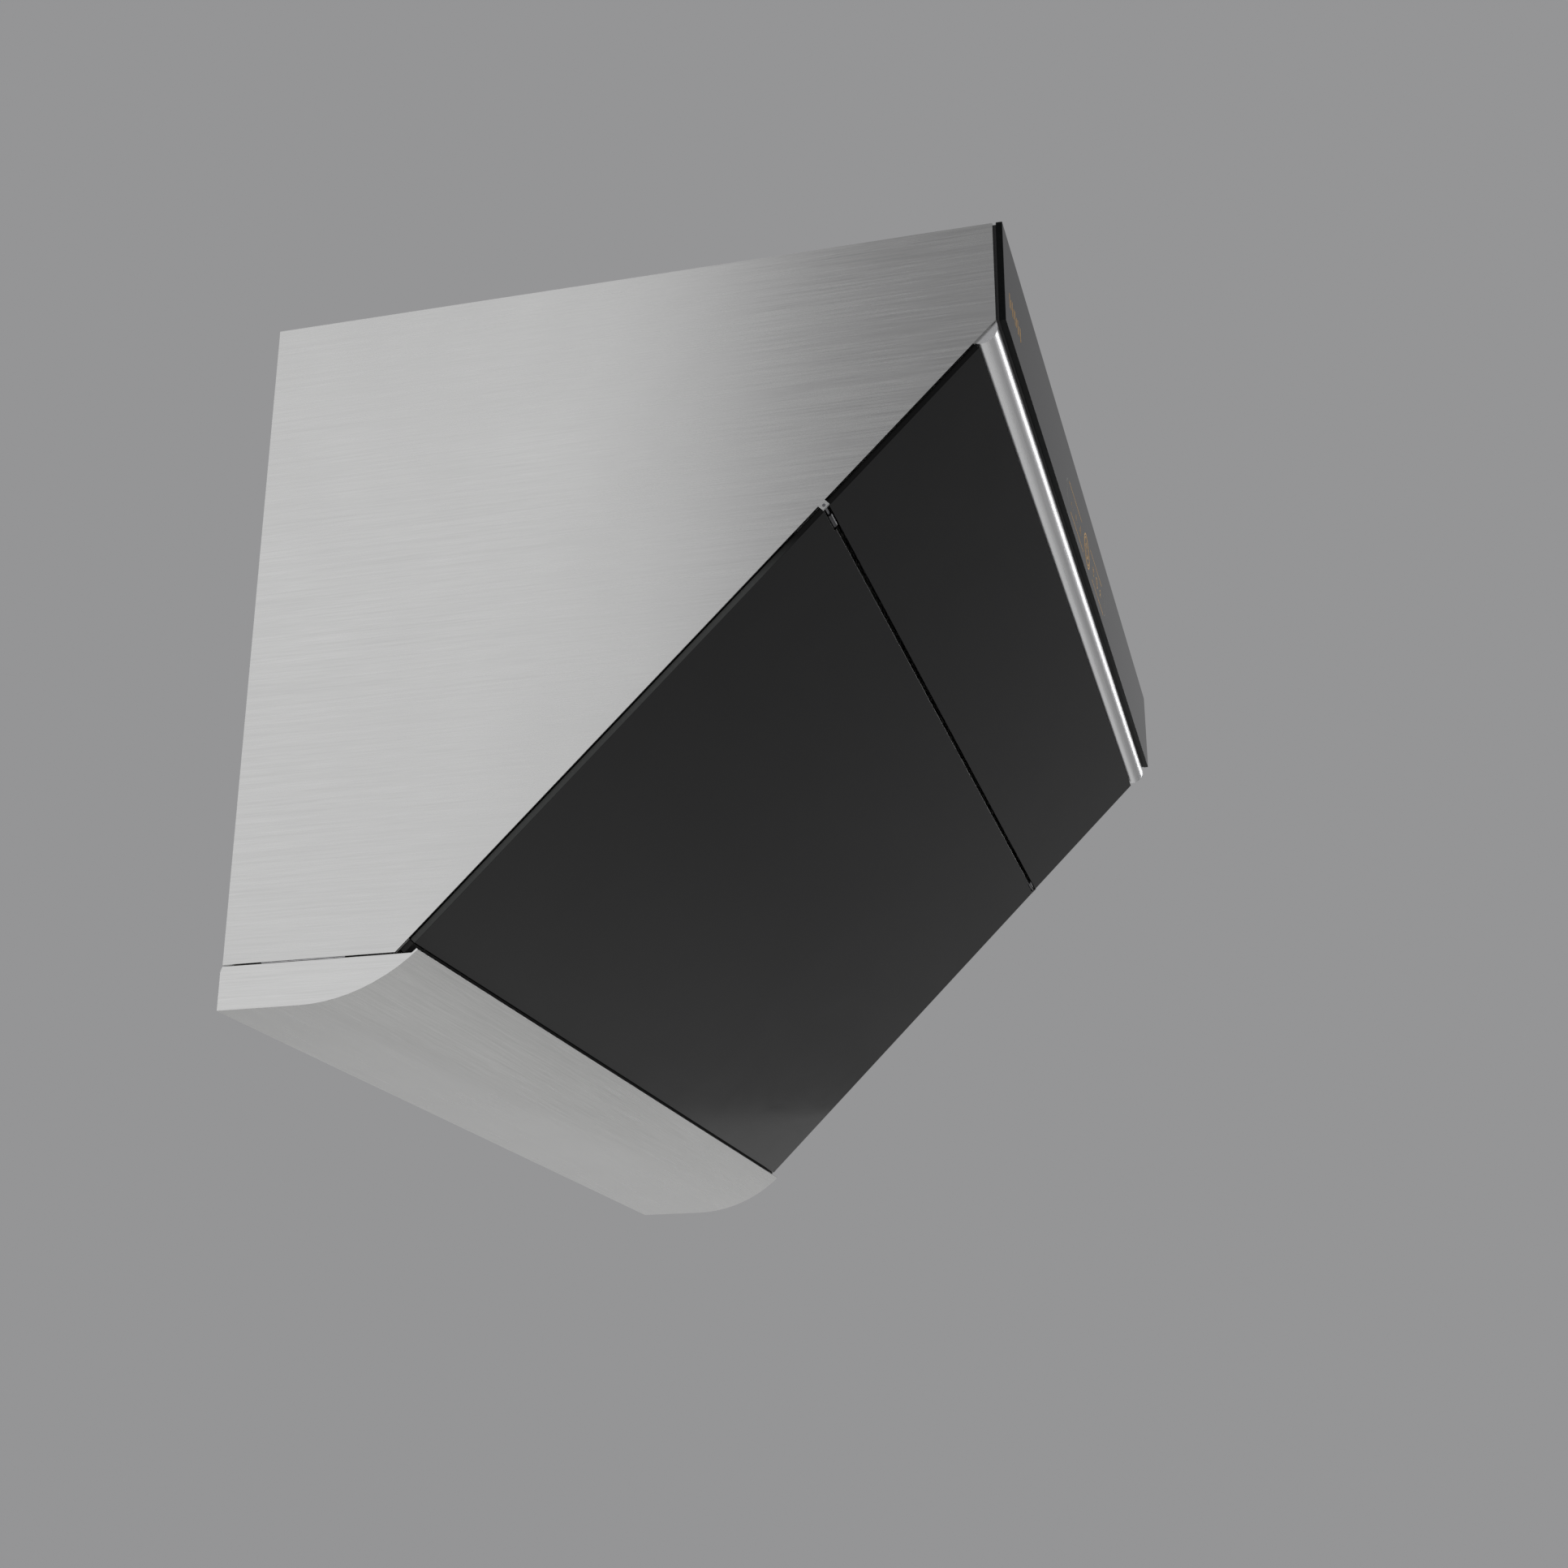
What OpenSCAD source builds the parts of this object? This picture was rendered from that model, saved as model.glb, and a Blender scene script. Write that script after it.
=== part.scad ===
// Wall-mounted kitchen range hood with a 45 degree inclined front.
// Millimetres. X runs to the right seen from the room, -Y points into the room, +Z is up.
// The origin is the middle of the wall bracket's rear face, where it lies on the wall.

/* [Body] */
// Width over the side panels
body_w = 710; // [590:1:900]
// Height of the steel body from its lower edge to its top
body_h = 385.5; // [385:0.5:470]
// Depth of the steel body at its lower edge
bottom_d = 98.8; // [96:0.1:125]
// Height of the upright front above the slope
front_h = 60.2; // [58:0.1:75]
// Thickness of the steel sheet
sheet = 1.2; // [0.8:0.1:1.5]
// Room between the wall and the back panel
wall_gap = 5; // [4.8:0.1:8]
// Width of the opened joint between pieces that only lie next to each other
seam = 0.3; // [0.2:0.05:0.5]

/* [Glass] */
// Thickness of each glass panel
glass_t = 3.6; // [3:0.1:5]
// Distance from a side panel's outer face to the edge of the glass
glass_inset = 1.5; // [1.5:0.1:4]
// How far the control glass stands above the top panel
glass_rise = 1.2; // [0:0.1:3]
// Thickness of the adhesive spacer behind the control glass
spacer_t = 1.6; // [1.6:0.1:3]
// Length of the fixed upper glass down the slope
upper_len = 116.9; // [95:0.1:140]
// Room for the lower glass's edge as it swings past the upper glass
swing_gap = 0.075; // [0.05:0.005:0.3]
// Length of slope left below the lower glass for the seal strip
seal_room = 10.2; // [9:0.1:14]
// Width of the touch board behind the control glass
board_w = 200; // [150:1:260]
// Height of the touch board
board_h = 30; // [24:1:36]

/* [Front trim] */
// Radius of the rounded trim strip
trim_r = 9.1; // [9:0.1:12]
// Depth of the trim's centre line below the slope
trim_sink = 3.5; // [3:0.1:4.5]
// Wall of the trim strip
trim_wall = 1.1; // [0.8:0.1:1.5]
// Thickness of the trim's end caps
cap_t = 1.5; // [1:0.1:3]

/* [Panel hinge] */
// Radius of the hinge pins
pin_r = 1; // [0.8:0.1:1.2]
// Radial clearance of a pin in its knuckle
pin_clear = 0.05; // [0.02:0.01:0.1]
// Length of each hinge pin
pin_len = 24; // [20:1:40]
// Distance from a side panel's outer face to the knuckle
knuckle_in = 10; // [6:1:20]
// Length of each knuckle
knuckle_len = 13; // [8:1:18]
// Outer radius of the knuckles
knuckle_r = 1.8; // [1.7:0.1:2]
// Distance from the lower glass's upper edge to the pin axis
pin_back = 0.7; // [0.5:0.1:1]
// Length of the hinge leaves behind the glass
leaf_len = 40; // [20:1:80]
// Depth of the steel frame behind the lower glass
frame_depth = 11; // [8:0.5:12]

/* [Suction] */
// Depth of the inner sloping wall under the slope line
suction_depth = 28; // [26:0.5:34]
// Radius of the suction opening
suction_r = 100; // [80:1:110]
// Width of the grease filter's rim
filter_rim = 12; // [8:1:16]
// Height of the grease filter's dome
filter_dome = 12; // [8:1:13]
// Number of slots in the filter
filter_slots = 30; // [16:1:36]

/* [Fan] */
// Outer radius of the impeller
impeller_r = 100; // [85:1:102]
// Length of the impeller's blades along its axis
impeller_w = 100; // [96:1:102]
// Number of impeller blades
blades = 40; // [24:1:48]
// Depth of the fan housing, wall side to room side
fan_w = 120; // [120:1:126]
// Distance from the back panel's face to the fan housing
fan_gap = 25; // [20:1:30]
// Smallest gap between the impeller and the scroll
scroll_gap = 18; // [14:1:24]
// Growth of the scroll radius for each quarter turn
scroll_step = 16; // [12:1:17]
// Width of the scroll's outlet
outlet_w = 130; // [120:1:134]
// Radius of the motor body
motor_r = 50; // [40:1:54]
// Radius of the motor shaft
shaft_r = 4; // [3:0.5:6]
// How far the inlet ring's throat is wider than the ring of blades inside
inlet_lap = 4; // [0:1:8]

/* [Outlet] */
// Outer radius of the duct collar
collar_r = 75; // [70:1:78]
// Height of the duct collar over the top panel
collar_h = 52; // [40:1:70]
// Wall of the duct collar
collar_wall = 1.5; // [1.5:0.1:3]
// Height of the check flaps' pins over the top panel
flap_z = 14; // [10:1:20]
// Radius of the check flaps' pins
flap_pin_r = 1.5; // [1:0.1:2]

/* [Oil tray] */
// Height of the tray's side walls
tray_h = 24; // [18:0.5:32]
// Gap between body and tray
tray_gap = 0.9; // [0.9:0.1:1.5]
// Thickness of the tray's sheet
tray_t = 1.2; // [1:0.1:1.6]
// Radius of the tray's curved front
tray_r = 98; // [90:1:110]
// How far the lip of the curved front reaches in front of the body's lower edge
lip_out = 12.8; // [12.8:0.1:14]
// Height of the lip over the body's lower edge
lip_rise = 0.5; // [-2:0.1:0.6]
// How far the tray reaches behind the body
tray_back = 1.1; // [0:0.1:2]
// Length of each hanger that carries the tray
hanger_len = 48; // [30:1:60]
// Width of the flange that runs in a hanger
tray_flange = 8; // [6:0.5:12]

/* [Hidden] */
$fn = 96;
cut = 1;                                   // how far a cutting tool runs past a face
root2 = sqrt(2);
slope_z = body_h - front_h;                // height of the slope's upper end
slope_len = slope_z * root2;
body_d = bottom_d + slope_z;
inner_w = body_w - 2 * sheet;
glass_w = body_w - 2 * glass_inset;
hang_z = body_h - 60;                      // height of the wall bracket's middle
bracket_h = 44;                            // height of the wall bracket's strip
bracket_t = 1.5;
hook_h = 7;                                // height of the bracket's hook over its strip
hook_t = 1.2;
hook_y = 3.4;                              // from the wall bracket's rear face to the hook's near face
rail_t = 1.2;
bracket_w = 420;
bracket_hole_x = 150;
bracket_hole_r = 3.5;
access_r = 9;                              // driver hole in the back panel
front_y = -body_d - spacer_t;              // rear face of the control glass
fan_screw_h = 2;
// Along the slope, s runs down from its upper end and d is the depth into the body
trim_mid = sqrt(trim_r * trim_r - trim_sink * trim_sink) + 0.2;
upper_s = 2 * trim_mid + seam / 2;
upper_end = upper_s + upper_len;
lower_lift = seam;                         // air under the moving glass
pin_drop = glass_t / 2 + 0.1;              // height of the glass's face over the pin axis
pin_rise = lower_lift + glass_t - pin_drop;
pin_s = upper_end + sqrt(pin_back * pin_back + pin_drop * pin_drop) + swing_gap;
lower_s = pin_s + pin_back;
lower_end = slope_len - seal_room;
relief = pin_s + knuckle_r + seam;         // the glass is cut back to here at the hinges
leaf_t = 1;
seal_s = lower_end + 0.4;
seal_w = 6.9;
seal_t = 3.1;
frame_in = 26;                             // frame edge to the side panel's outer face
frame_s = lower_s + 4.1;                   // the frame stays clear of the hinges' ears
frame_end = lower_end - 4;
fold_s = upper_end - 6;                    // outward fold of the inner wall
suction_s = (fold_s + slope_len + suction_depth) / 2 - 8;
catch_in = 60;
catch_s = frame_end - 18;
catch_r = 6;
catch_gap = 0.5;
strike_t = 1;
// Fan housing, measured from its axis and its rear face
fan_wall = 1.2;
fan_flange = 6;
scroll_r = impeller_r + scroll_gap;
scroll_r2 = scroll_r + scroll_step;
scroll_r3 = scroll_r + 2 * scroll_step;
half_step = scroll_step / 2;
outlet_right = half_step + scroll_r3;
outlet_left = outlet_right - outlet_w;
fan_x = -(outlet_left + outlet_right) / 2;
fan_reach = fan_gap + fan_w + fan_screw_h;
fan_floor = fan_reach - bottom_d + (suction_depth + sheet) * root2;
fan_z = fan_floor + half_step + scroll_r2 + fan_wall + fan_flange + 4;
fan_top = body_h - sheet - fan_z;
duct_y = -(fan_gap + fan_w / 2);
impeller_z = 10;
impeller_in = impeller_r - 20;
blade_t = 1;
blade_rows = 6;                            // straight pieces in the curve of a blade
blade_lead = 9;                            // angle a blade leads by at its tip
ring_t = 3;
disc_z = impeller_z + 76;
disc_t = 2;
hub_r = 12;
hub_z = disc_z - 4;
hub_len = 16;
nut_len = 10;
mount_t = 2;
bush_h = 6;
motor_z = fan_wall + mount_t + bush_h;     // rear face of the motor's flange
motor_flange_r = motor_r + 12;
motor_flange_t = 2;
motor_end = 74;
boss_h = 6;
boss_r = 14;
screw_ring = motor_r + 6;
screw_r = 2;
screw_head_r = 3.3;
screw_head_h = 1.8;
small_screw_r = 1.5;
small_head_r = 2.8;
screw_slack = 0.1;                         // radial clearance of a screw in its hole
inlet_r = impeller_in + inlet_lap;
bell = 8;                                  // radius of the inlet ring's curve
post_r = 7;
// Touch board, control box and small parts
board_z = slope_z + front_h / 2;
board_t = spacer_t - 0.1;
box_x = body_w / 2 - 225;
box_l = 180;
box_d = 80;
box_deep = 46;
box_wall = 2;
box_y = -body_d + 95;
cap_r = 17.5;
cap_len = 62;
cap_plate = 1.8;                           // the clip's plate, which its band runs into
cap_band = 1.2;
cap_x = body_w / 2 - 170;
cap_y = box_y + box_d + 60;
cap_z = body_h - sheet - cap_plate - cap_band + 0.4 - cap_r;
gland_x = body_w / 2 - 60;
gland_y = -45;
gland_r = 8;
gland_bore = 4.2;
gland_rise = 12;
gland_drop = 16;
// Duct collar
collar_flange = 8;
collar_screw_ring = collar_r + 4.5;
flap_gap = 4;                              // a flap pin's distance from the collar's axis
flap_t = 1.2;
flap_r = collar_r - collar_wall - 2.5;
flap_knuckle_r = 2.6;
flap_knuckle_y = 30;
flap_knuckle_len = 14;
ledge_w = 4;
// Oil tray, measured from the body's rear lower edge
tray_top = -tray_gap;
tray_floor = tray_top - tray_h;
tray_arc = acos(1 - (lip_rise - tray_floor) / tray_r);
tray_bend = tray_r * sin(tray_arc) - bottom_d - lip_out;
hanger_y = -22.3;
hanger_t = 1.2;
hanger_pad = 0.5;
hanger_slack = 0.3;
flange_x = body_w / 2 - tray_t - tray_flange;

// Placing

// Moves from the body's rear lower edge to the origin on the wall
module in_body() { translate([0, -wall_gap, -hang_z]) children(); }

// Draws in the Y-Z plane and extrudes evenly to both sides of X = x
module extrude_x(w, x = 0) {
    translate([x - w / 2, 0, 0]) rotate([90, 0, 90]) linear_extrude(w) children();
}

// Local y runs down the slope and local z into the body
module on_slope() { translate([0, -body_d, slope_z]) rotate([-45, 0, 0]) children(); }

module slope_box(w, s0, s1, d0, d1, x = 0) {
    on_slope() translate([x - w / 2, s0, d0]) cube([w, s1 - s0, d1 - d0]);
}

// Local z runs along the fan's axis towards the room, from the housing's rear face
module in_fan() { translate([fan_x, -fan_gap, fan_z]) rotate([90, 0, 0]) children(); }

// A point of the slope in the Y-Z plane
function on_line(s, d) = [-body_d + (s + d) / root2, slope_z - (s - d) / root2];

module both_sides() {
    children();
    mirror([1, 0, 0]) children();
}

module tube(r_out, r_in, h) {
    difference() {
        cylinder(r = r_out, h = h);
        translate([0, 0, -cut]) cylinder(r = r_in, h = h + 2 * cut);
    }
}

// Steel body

module side_panel() {
    x = body_w / 2 - sheet / 2;
    difference() {
        union() {
            extrude_x(sheet, x) polygon([[0, 0], [-bottom_d, 0], [-body_d, slope_z],
                [-body_d, body_h], [0, body_h]]);
            slope_box(sheet, pin_s - 2.5, pin_s + 2.5, -pin_rise - pin_r - 0.6, cut, x);
        }
        hinge_axis() translate([0, 0, body_w / 2 - sheet - cut])
            cylinder(r = pin_r, h = sheet + 2 * cut);
    }
}

// Local z runs along the hinge's axis to the right
module hinge_axis() { on_slope() translate([0, pin_s, -pin_rise]) rotate([0, 90, 0]) children(); }

module side_left() { color("silver") in_body() mirror([1, 0, 0]) side_panel(); }
module side_right() { color("silver") in_body() side_panel(); }

// The top and the upright front behind the control glass are one folded sheet
module top_panel() {
    color("silver") in_body() difference() {
        extrude_x(inner_w) polygon([[0, body_h - sheet], [0, body_h], [-body_d, body_h],
            [-body_d, slope_z], [-body_d + sheet, slope_z], [-body_d + sheet, body_h - sheet]]);
        translate([0, duct_y, body_h - sheet - cut])
            cylinder(r = collar_r - collar_wall, h = sheet + 2 * cut);
        collar_screw_places() translate([0, 0, -sheet - cut])
            cylinder(r = screw_r + screw_slack, h = sheet + 2 * cut);
        translate([gland_x, gland_y, body_h - sheet - cut])
            cylinder(r = gland_r + screw_slack, h = sheet + 2 * cut);
        translate([-board_w / 2, -body_d - cut, board_z - board_h / 2])
            cube([board_w, sheet + 2 * cut, board_h]);
    }
}

module back_panel() {
    color("silver") in_body() difference() {
        translate([-inner_w / 2, -sheet, 0]) cube([inner_w, sheet, body_h - sheet]);
        for (x = [-bracket_hole_x, bracket_hole_x])
            translate([x, cut, hang_z]) rotate([90, 0, 0]) cylinder(r = access_r, h = sheet + 2 * cut);
        rail_screw_places() translate([0, 0, -cut])
            cylinder(r = screw_r + screw_slack, h = sheet + 2 * cut);
    }
}

// The floor turns up along the slope to carry the seal strip
module floor_panel() {
    color("silver") in_body() difference() {
        extrude_x(inner_w) polygon([[-sheet, 0], [-bottom_d - lower_lift * root2, 0],
            on_line(seal_s, -lower_lift), on_line(seal_s, sheet - lower_lift),
            [-bottom_d + (sheet - lower_lift) * root2 - sheet, sheet], [-sheet, sheet]]);
        for (x = [-2:2])
            translate([x * inner_w / 6 - 20, -bottom_d + 16, -cut]) cube([40, 4, sheet + 2 * cut]);
        both_sides() hanger_screw_places() translate([0, 0, -cut])
            cylinder(r = small_screw_r + screw_slack, h = sheet + 2 * cut);
    }
}

module upper_backing() {
    color("silver") in_body() slope_box(inner_w, 4, fold_s + sheet, 0, sheet);
}

// Inner sloping wall with the suction opening, from the upper glass down to the floor
module suction_frame() {
    bottom_s = (slope_z - sheet) * root2;
    d0 = suction_depth;
    d1 = suction_depth + sheet;
    color("gainsboro") in_body() difference() {
        extrude_x(inner_w) polygon([on_line(fold_s, sheet), on_line(fold_s + sheet, sheet),
            on_line(fold_s + sheet, d0), on_line(bottom_s + d0, d0), on_line(bottom_s + d1, d1),
            on_line(fold_s, d1)]);
        on_slope() translate([0, suction_s, d0 - cut]) cylinder(r = suction_r, h = sheet + 2 * cut);
    }
}

module seal_strip() {
    color("black") in_body()
        slope_box(glass_w, seal_s, seal_s + seal_w, -lower_lift - seal_t, -lower_lift);
}

// Control glass and its board

module control_glass() {
    color("black") in_body() translate([-glass_w / 2, front_y - glass_t, slope_z])
        cube([glass_w, glass_t, front_h + glass_rise]);
}

module glass_spacer() {
    color("dimgray") in_body() difference() {
        translate([-glass_w / 2, front_y, slope_z + 0.5]) cube([glass_w, spacer_t, front_h - 1]);
        translate([-board_w / 2, front_y - cut, board_z - board_h / 2])
            cube([board_w, spacer_t + 2 * cut, board_h]);
    }
}

// Circuit board with its touch springs and connector, in the window of the spacer
module touch_board() {
    w = board_w - 2 * seam;
    h = board_h - 2 * seam;
    color("darkgreen") in_body() {
        translate([-w / 2, front_y + 0.1, board_z - h / 2]) cube([w, board_t, h]);
        for (i = [-3:3]) translate([i * board_w / 8, front_y + spacer_t, board_z]) rotate([-90, 0, 0])
            cylinder(r = 5, h = 4);
        translate([board_w / 2 - 16, front_y + spacer_t, board_z - 5]) cube([12, 9, 10]);
    }
}

// Front trim

module trim_area(r) {
    intersection() {
        translate([trim_mid, trim_sink]) circle(r = r);
        translate([-trim_r, -3 * trim_r]) square([4 * trim_r, 3 * trim_r]);
    }
}

// Places an area drawn in s and d, extruded along X
module slope_extrude(w, x = 0) {
    on_slope() translate([x - w / 2, 0, 0]) rotate([90, 0, 90]) linear_extrude(w) children();
}

module front_trim() {
    color("silver") in_body() slope_extrude(glass_w - 2 * cap_t) difference() {
        trim_area(trim_r);
        trim_area(trim_r - trim_wall);
    }
}

module trim_cap() { slope_extrude(cap_t, glass_w / 2 - cap_t / 2) trim_area(trim_r); }
module trim_cap_left() { color("gainsboro") in_body() mirror([1, 0, 0]) trim_cap(); }
module trim_cap_right() { color("gainsboro") in_body() trim_cap(); }

// Sloping glass and the hinged panel

module upper_glass() {
    color("black") in_body() slope_box(glass_w, upper_s, upper_end, -glass_t, 0);
}

module lower_glass() {
    top = -lower_lift - glass_t;
    notch = pin_len + 1;
    color("black") in_body() difference() {
        slope_box(glass_w, lower_s, lower_end, top, -lower_lift);
        both_sides() slope_box(notch, lower_s - cut, relief, top - cut, cut, body_w / 2 - notch / 2);
    }
}

module panel_frame() {
    w = body_w - 2 * frame_in;
    color("gainsboro") in_body() difference() {
        slope_box(w, frame_s, frame_end, -lower_lift, frame_depth);
        slope_box(w - 2 * leaf_t, frame_s + leaf_t, frame_end - leaf_t, leaf_t - lower_lift,
            frame_depth + cut);
    }
}

// A knuckle on the pin, and a leaf that turns under the glass and is bonded to it
module hinge_leaf() {
    x = body_w / 2 - knuckle_in - knuckle_len / 2;
    back = pin_s - knuckle_r;
    difference() {
        union() {
            hinge_axis() translate([0, 0, x - knuckle_len / 2])
                cylinder(r = knuckle_r, h = knuckle_len);
            slope_box(knuckle_len, back, back + leaf_t, -pin_rise, leaf_t - lower_lift, x);
            slope_box(knuckle_len, back, back + leaf_len, -lower_lift, leaf_t - lower_lift, x);
        }
        hinge_axis() translate([0, 0, x - knuckle_len / 2 - cut])
            cylinder(r = pin_r + pin_clear, h = knuckle_len + 2 * cut);
    }
}

module hinge_leaf_left() { color("silver") in_body() mirror([1, 0, 0]) hinge_leaf(); }
module hinge_leaf_right() { color("silver") in_body() hinge_leaf(); }

module hinge_pin() {
    hinge_axis() translate([0, 0, body_w / 2 - pin_len]) cylinder(r = pin_r, h = pin_len);
}
module hinge_pin_left() { color("gray") in_body() mirror([1, 0, 0]) hinge_pin(); }
module hinge_pin_right() { color("gray") in_body() hinge_pin(); }

module catch_place() {
    both_sides() on_slope() translate([body_w / 2 - catch_in, catch_s, 0]) children();
}

module strike_plates() {
    color("gray") in_body() catch_place() translate([0, 0, leaf_t - lower_lift])
        cylinder(r = catch_r + 3, h = strike_t);
}

module catch_magnets() {
    top = leaf_t - lower_lift + strike_t + catch_gap;
    color("dimgray") in_body() catch_place() translate([0, 0, top])
        cylinder(r = catch_r, h = suction_depth - top);
}

// Grease filter

module filter_place() { on_slope() translate([0, suction_s, 0]) children(); }

module grease_filter() {
    rim = suction_depth - 1;
    face = rim - filter_dome;
    throat = suction_r - 3;
    flat_r = throat - 9;
    color("gainsboro") in_body() filter_place() difference() {
        rotate_extrude() polygon([[0, face], [flat_r, face], [throat, rim],
            [suction_r + filter_rim, rim], [suction_r + filter_rim, suction_depth],
            [throat - 0.7, suction_depth], [flat_r - 0.6, face + 1], [0, face + 1]]);
        for (i = [0:filter_slots - 1]) rotate([0, 0, i * 360 / filter_slots])
            translate([flat_r * 0.36, -1.6, face - cut]) cube([flat_r * 0.56, 3.2, 1 + 2 * cut]);
    }
}

module filter_clips() {
    rim = suction_r + filter_rim;
    color("gray") in_body() filter_place() for (a = [0, 90, 180, 270]) rotate([0, 0, a + 45]) {
        translate([rim - 6, -7, suction_depth - 2.2]) cube([14, 14, 1.2]);
        translate([rim + seam, -7, suction_depth - 1.5]) cube([8 - seam, 14, 1.5]);
    }
}

// Fan housing: three quarter arcs of growing radius, then a straight outlet

module quarter(r, sx, sy) {
    intersection() {
        circle(r = r);
        translate([sx < 0 ? -2 * r : 0, sy < 0 ? -2 * r : 0]) square(2 * r);
    }
}

module scroll_area(grow, top) {
    intersection() {
        union() {
            translate([-half_step, -half_step]) quarter(scroll_r + grow, -1, 1);
            translate([-half_step - 0.01, -half_step - 0.01])
                square([outlet_left + half_step + 0.01, scroll_r + grow + 0.01]);
        }
        translate([-2 * scroll_r, -2 * scroll_r]) square([4 * scroll_r, 2 * scroll_r + top]);
    }
    translate([half_step, -half_step]) quarter(scroll_r2 + grow, -1, -1);
    translate([half_step, half_step]) quarter(scroll_r3 + grow, 1, -1);
    translate([outlet_left - grow, half_step - 0.01])
        square([outlet_w + 2 * grow, top - half_step]);
    translate([-half_step, -half_step - 1]) square([half_step * 4, scroll_step + 2]);
}

module fan_screw_places() {
    r = fan_wall + fan_flange / 2;
    for (a = [125, 165]) translate([-half_step, -half_step])
        rotate(a) translate([scroll_r + r, 0]) children();
    for (a = [202, 247]) translate([half_step, -half_step])
        rotate(a) translate([scroll_r2 + r, 0]) children();
    for (a = [293, 338]) translate([half_step, half_step])
        rotate(a) translate([scroll_r3 + r, 0]) children();
    for (y = [30, 70]) translate([outlet_right + r, fan_top - y]) children();
}

module fan_scroll() {
    color("silver") in_body() in_fan() {
        translate([0, 0, fan_wall]) linear_extrude(fan_w - 2 * fan_wall) difference() {
            scroll_area(fan_wall, fan_top);
            scroll_area(0, fan_top + cut);
        }
        translate([0, 0, fan_w - 2 * fan_wall]) linear_extrude(fan_wall) difference() {
            scroll_area(fan_wall + fan_flange, fan_top);
            scroll_area(0, fan_top + cut);
            fan_screw_places() circle(r = small_screw_r + screw_slack);
        }
    }
}

module fan_rear_plate() {
    color("silver") in_body() in_fan() linear_extrude(fan_wall) difference() {
        scroll_area(fan_wall + fan_flange, fan_top);
        motor_screw_places() circle(r = screw_r + screw_slack);
    }
}

module fan_front_plate() {
    color("silver") in_body() in_fan() translate([0, 0, fan_w - fan_wall]) linear_extrude(fan_wall)
        difference() {
            scroll_area(fan_wall + fan_flange, fan_top);
            circle(r = inlet_r + bell + 0.2);
            fan_screw_places() circle(r = small_screw_r + screw_slack);
        }
}

module inlet_ring() {
    color("gainsboro") in_body() in_fan() rotate_extrude() {
        intersection() {
            translate([inlet_r + bell, fan_w + fan_wall - bell]) difference() {
                circle(r = bell);
                circle(r = bell - fan_wall);
            }
            translate([inlet_r, fan_w + fan_wall - bell]) square(bell);
        }
        translate([inlet_r + bell, fan_w]) square([impeller_r + 1 - inlet_r - bell, fan_wall]);
    }
}

module fan_posts() {
    color("gray") in_body() in_fan() for (p = [[-70, -80], [80, -80], [-80, 70], [90, 70]])
        translate([p[0], p[1], sheet - fan_gap]) cylinder(r = post_r, h = fan_gap - sheet);
}

module fan_screws() {
    color("gray") in_body() in_fan() fan_screw_places() {
        translate([0, 0, fan_w - 3 * fan_wall]) cylinder(r = small_screw_r, h = 3 * fan_wall);
        translate([0, 0, fan_w]) cylinder(r = small_head_r, h = fan_screw_h);
    }
}

// Rotor

// One forward-curved blade from the inner to the outer radius, with its ends inside the two rings
function blade_point(k, side) =
    let (u = k / blade_rows,
         r = impeller_in + (impeller_r - impeller_in) * u,
         a = blade_lead * u * u + side * blade_t / 2 / r * 180 / PI)
    [r * cos(a), r * sin(a)];

module blade_area() {
    polygon(concat([for (k = [0:blade_rows]) blade_point(k, -1)],
        [for (k = [blade_rows:-1:0]) blade_point(k, 1)]));
}

module impeller() {
    color("dimgray") in_body() in_fan() {
        translate([0, 0, impeller_z + 1]) linear_extrude(impeller_w - 2)
            for (i = [0:blades - 1]) rotate(i * 360 / blades) blade_area();
        for (z = [impeller_z, impeller_z + impeller_w - ring_t]) translate([0, 0, z])
            tube(impeller_r + 1, impeller_in + 2, ring_t);
        translate([0, 0, disc_z]) tube(impeller_in + 2, shaft_r, disc_t);
        translate([0, 0, hub_z]) tube(hub_r, shaft_r, hub_len);
    }
}

module impeller_nut() {
    color("goldenrod") in_body() in_fan() translate([0, 0, hub_z + hub_len]) difference() {
        cylinder(r = 9, h = nut_len, $fn = 6);
        translate([0, 0, -cut]) cylinder(r = shaft_r, h = nut_len + 2 * cut);
    }
}

module motor_shaft() {
    color("gray") in_body() in_fan() translate([0, 0, 40])
        cylinder(r = shaft_r, h = hub_z + hub_len + nut_len - 40);
}

// Motor on its rubber bushes

module motor_screw_places() {
    for (a = [90, 210, 330]) rotate(a) translate([screw_ring, 0]) children();
}

module motor() {
    edge = 4;
    color("slategray") in_body() in_fan() difference() {
        union() {
            translate([0, 0, motor_z]) cylinder(r = motor_flange_r, h = motor_flange_t);
            rotate_extrude() polygon([[0, motor_z], [motor_r, motor_z], [motor_r, motor_end - edge],
                [motor_r - edge, motor_end], [boss_r, motor_end], [boss_r, motor_end + boss_h],
                [0, motor_end + boss_h]]);
            translate([0, 0, 30]) cylinder(r = motor_r + 2, h = 22);
        }
        translate([0, 0, 38]) cylinder(r = shaft_r + pin_clear, h = motor_end);
        translate([0, 0, motor_z - cut]) linear_extrude(motor_flange_t + 2 * cut)
            motor_screw_places() circle(r = screw_r + screw_slack);
    }
}

module motor_mount() {
    color("silver") in_body() in_fan() translate([0, 0, fan_wall]) linear_extrude(mount_t) difference() {
        circle(r = motor_flange_r + 4);
        circle(r = motor_r - 20);
        motor_screw_places() circle(r = screw_r + screw_slack);
    }
}

module motor_bushes() {
    color("black") in_body() in_fan() translate([0, 0, fan_wall + mount_t]) linear_extrude(bush_h)
        motor_screw_places() difference() {
            circle(r = 5.5);
            circle(r = screw_r + screw_slack);
        }
}

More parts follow.
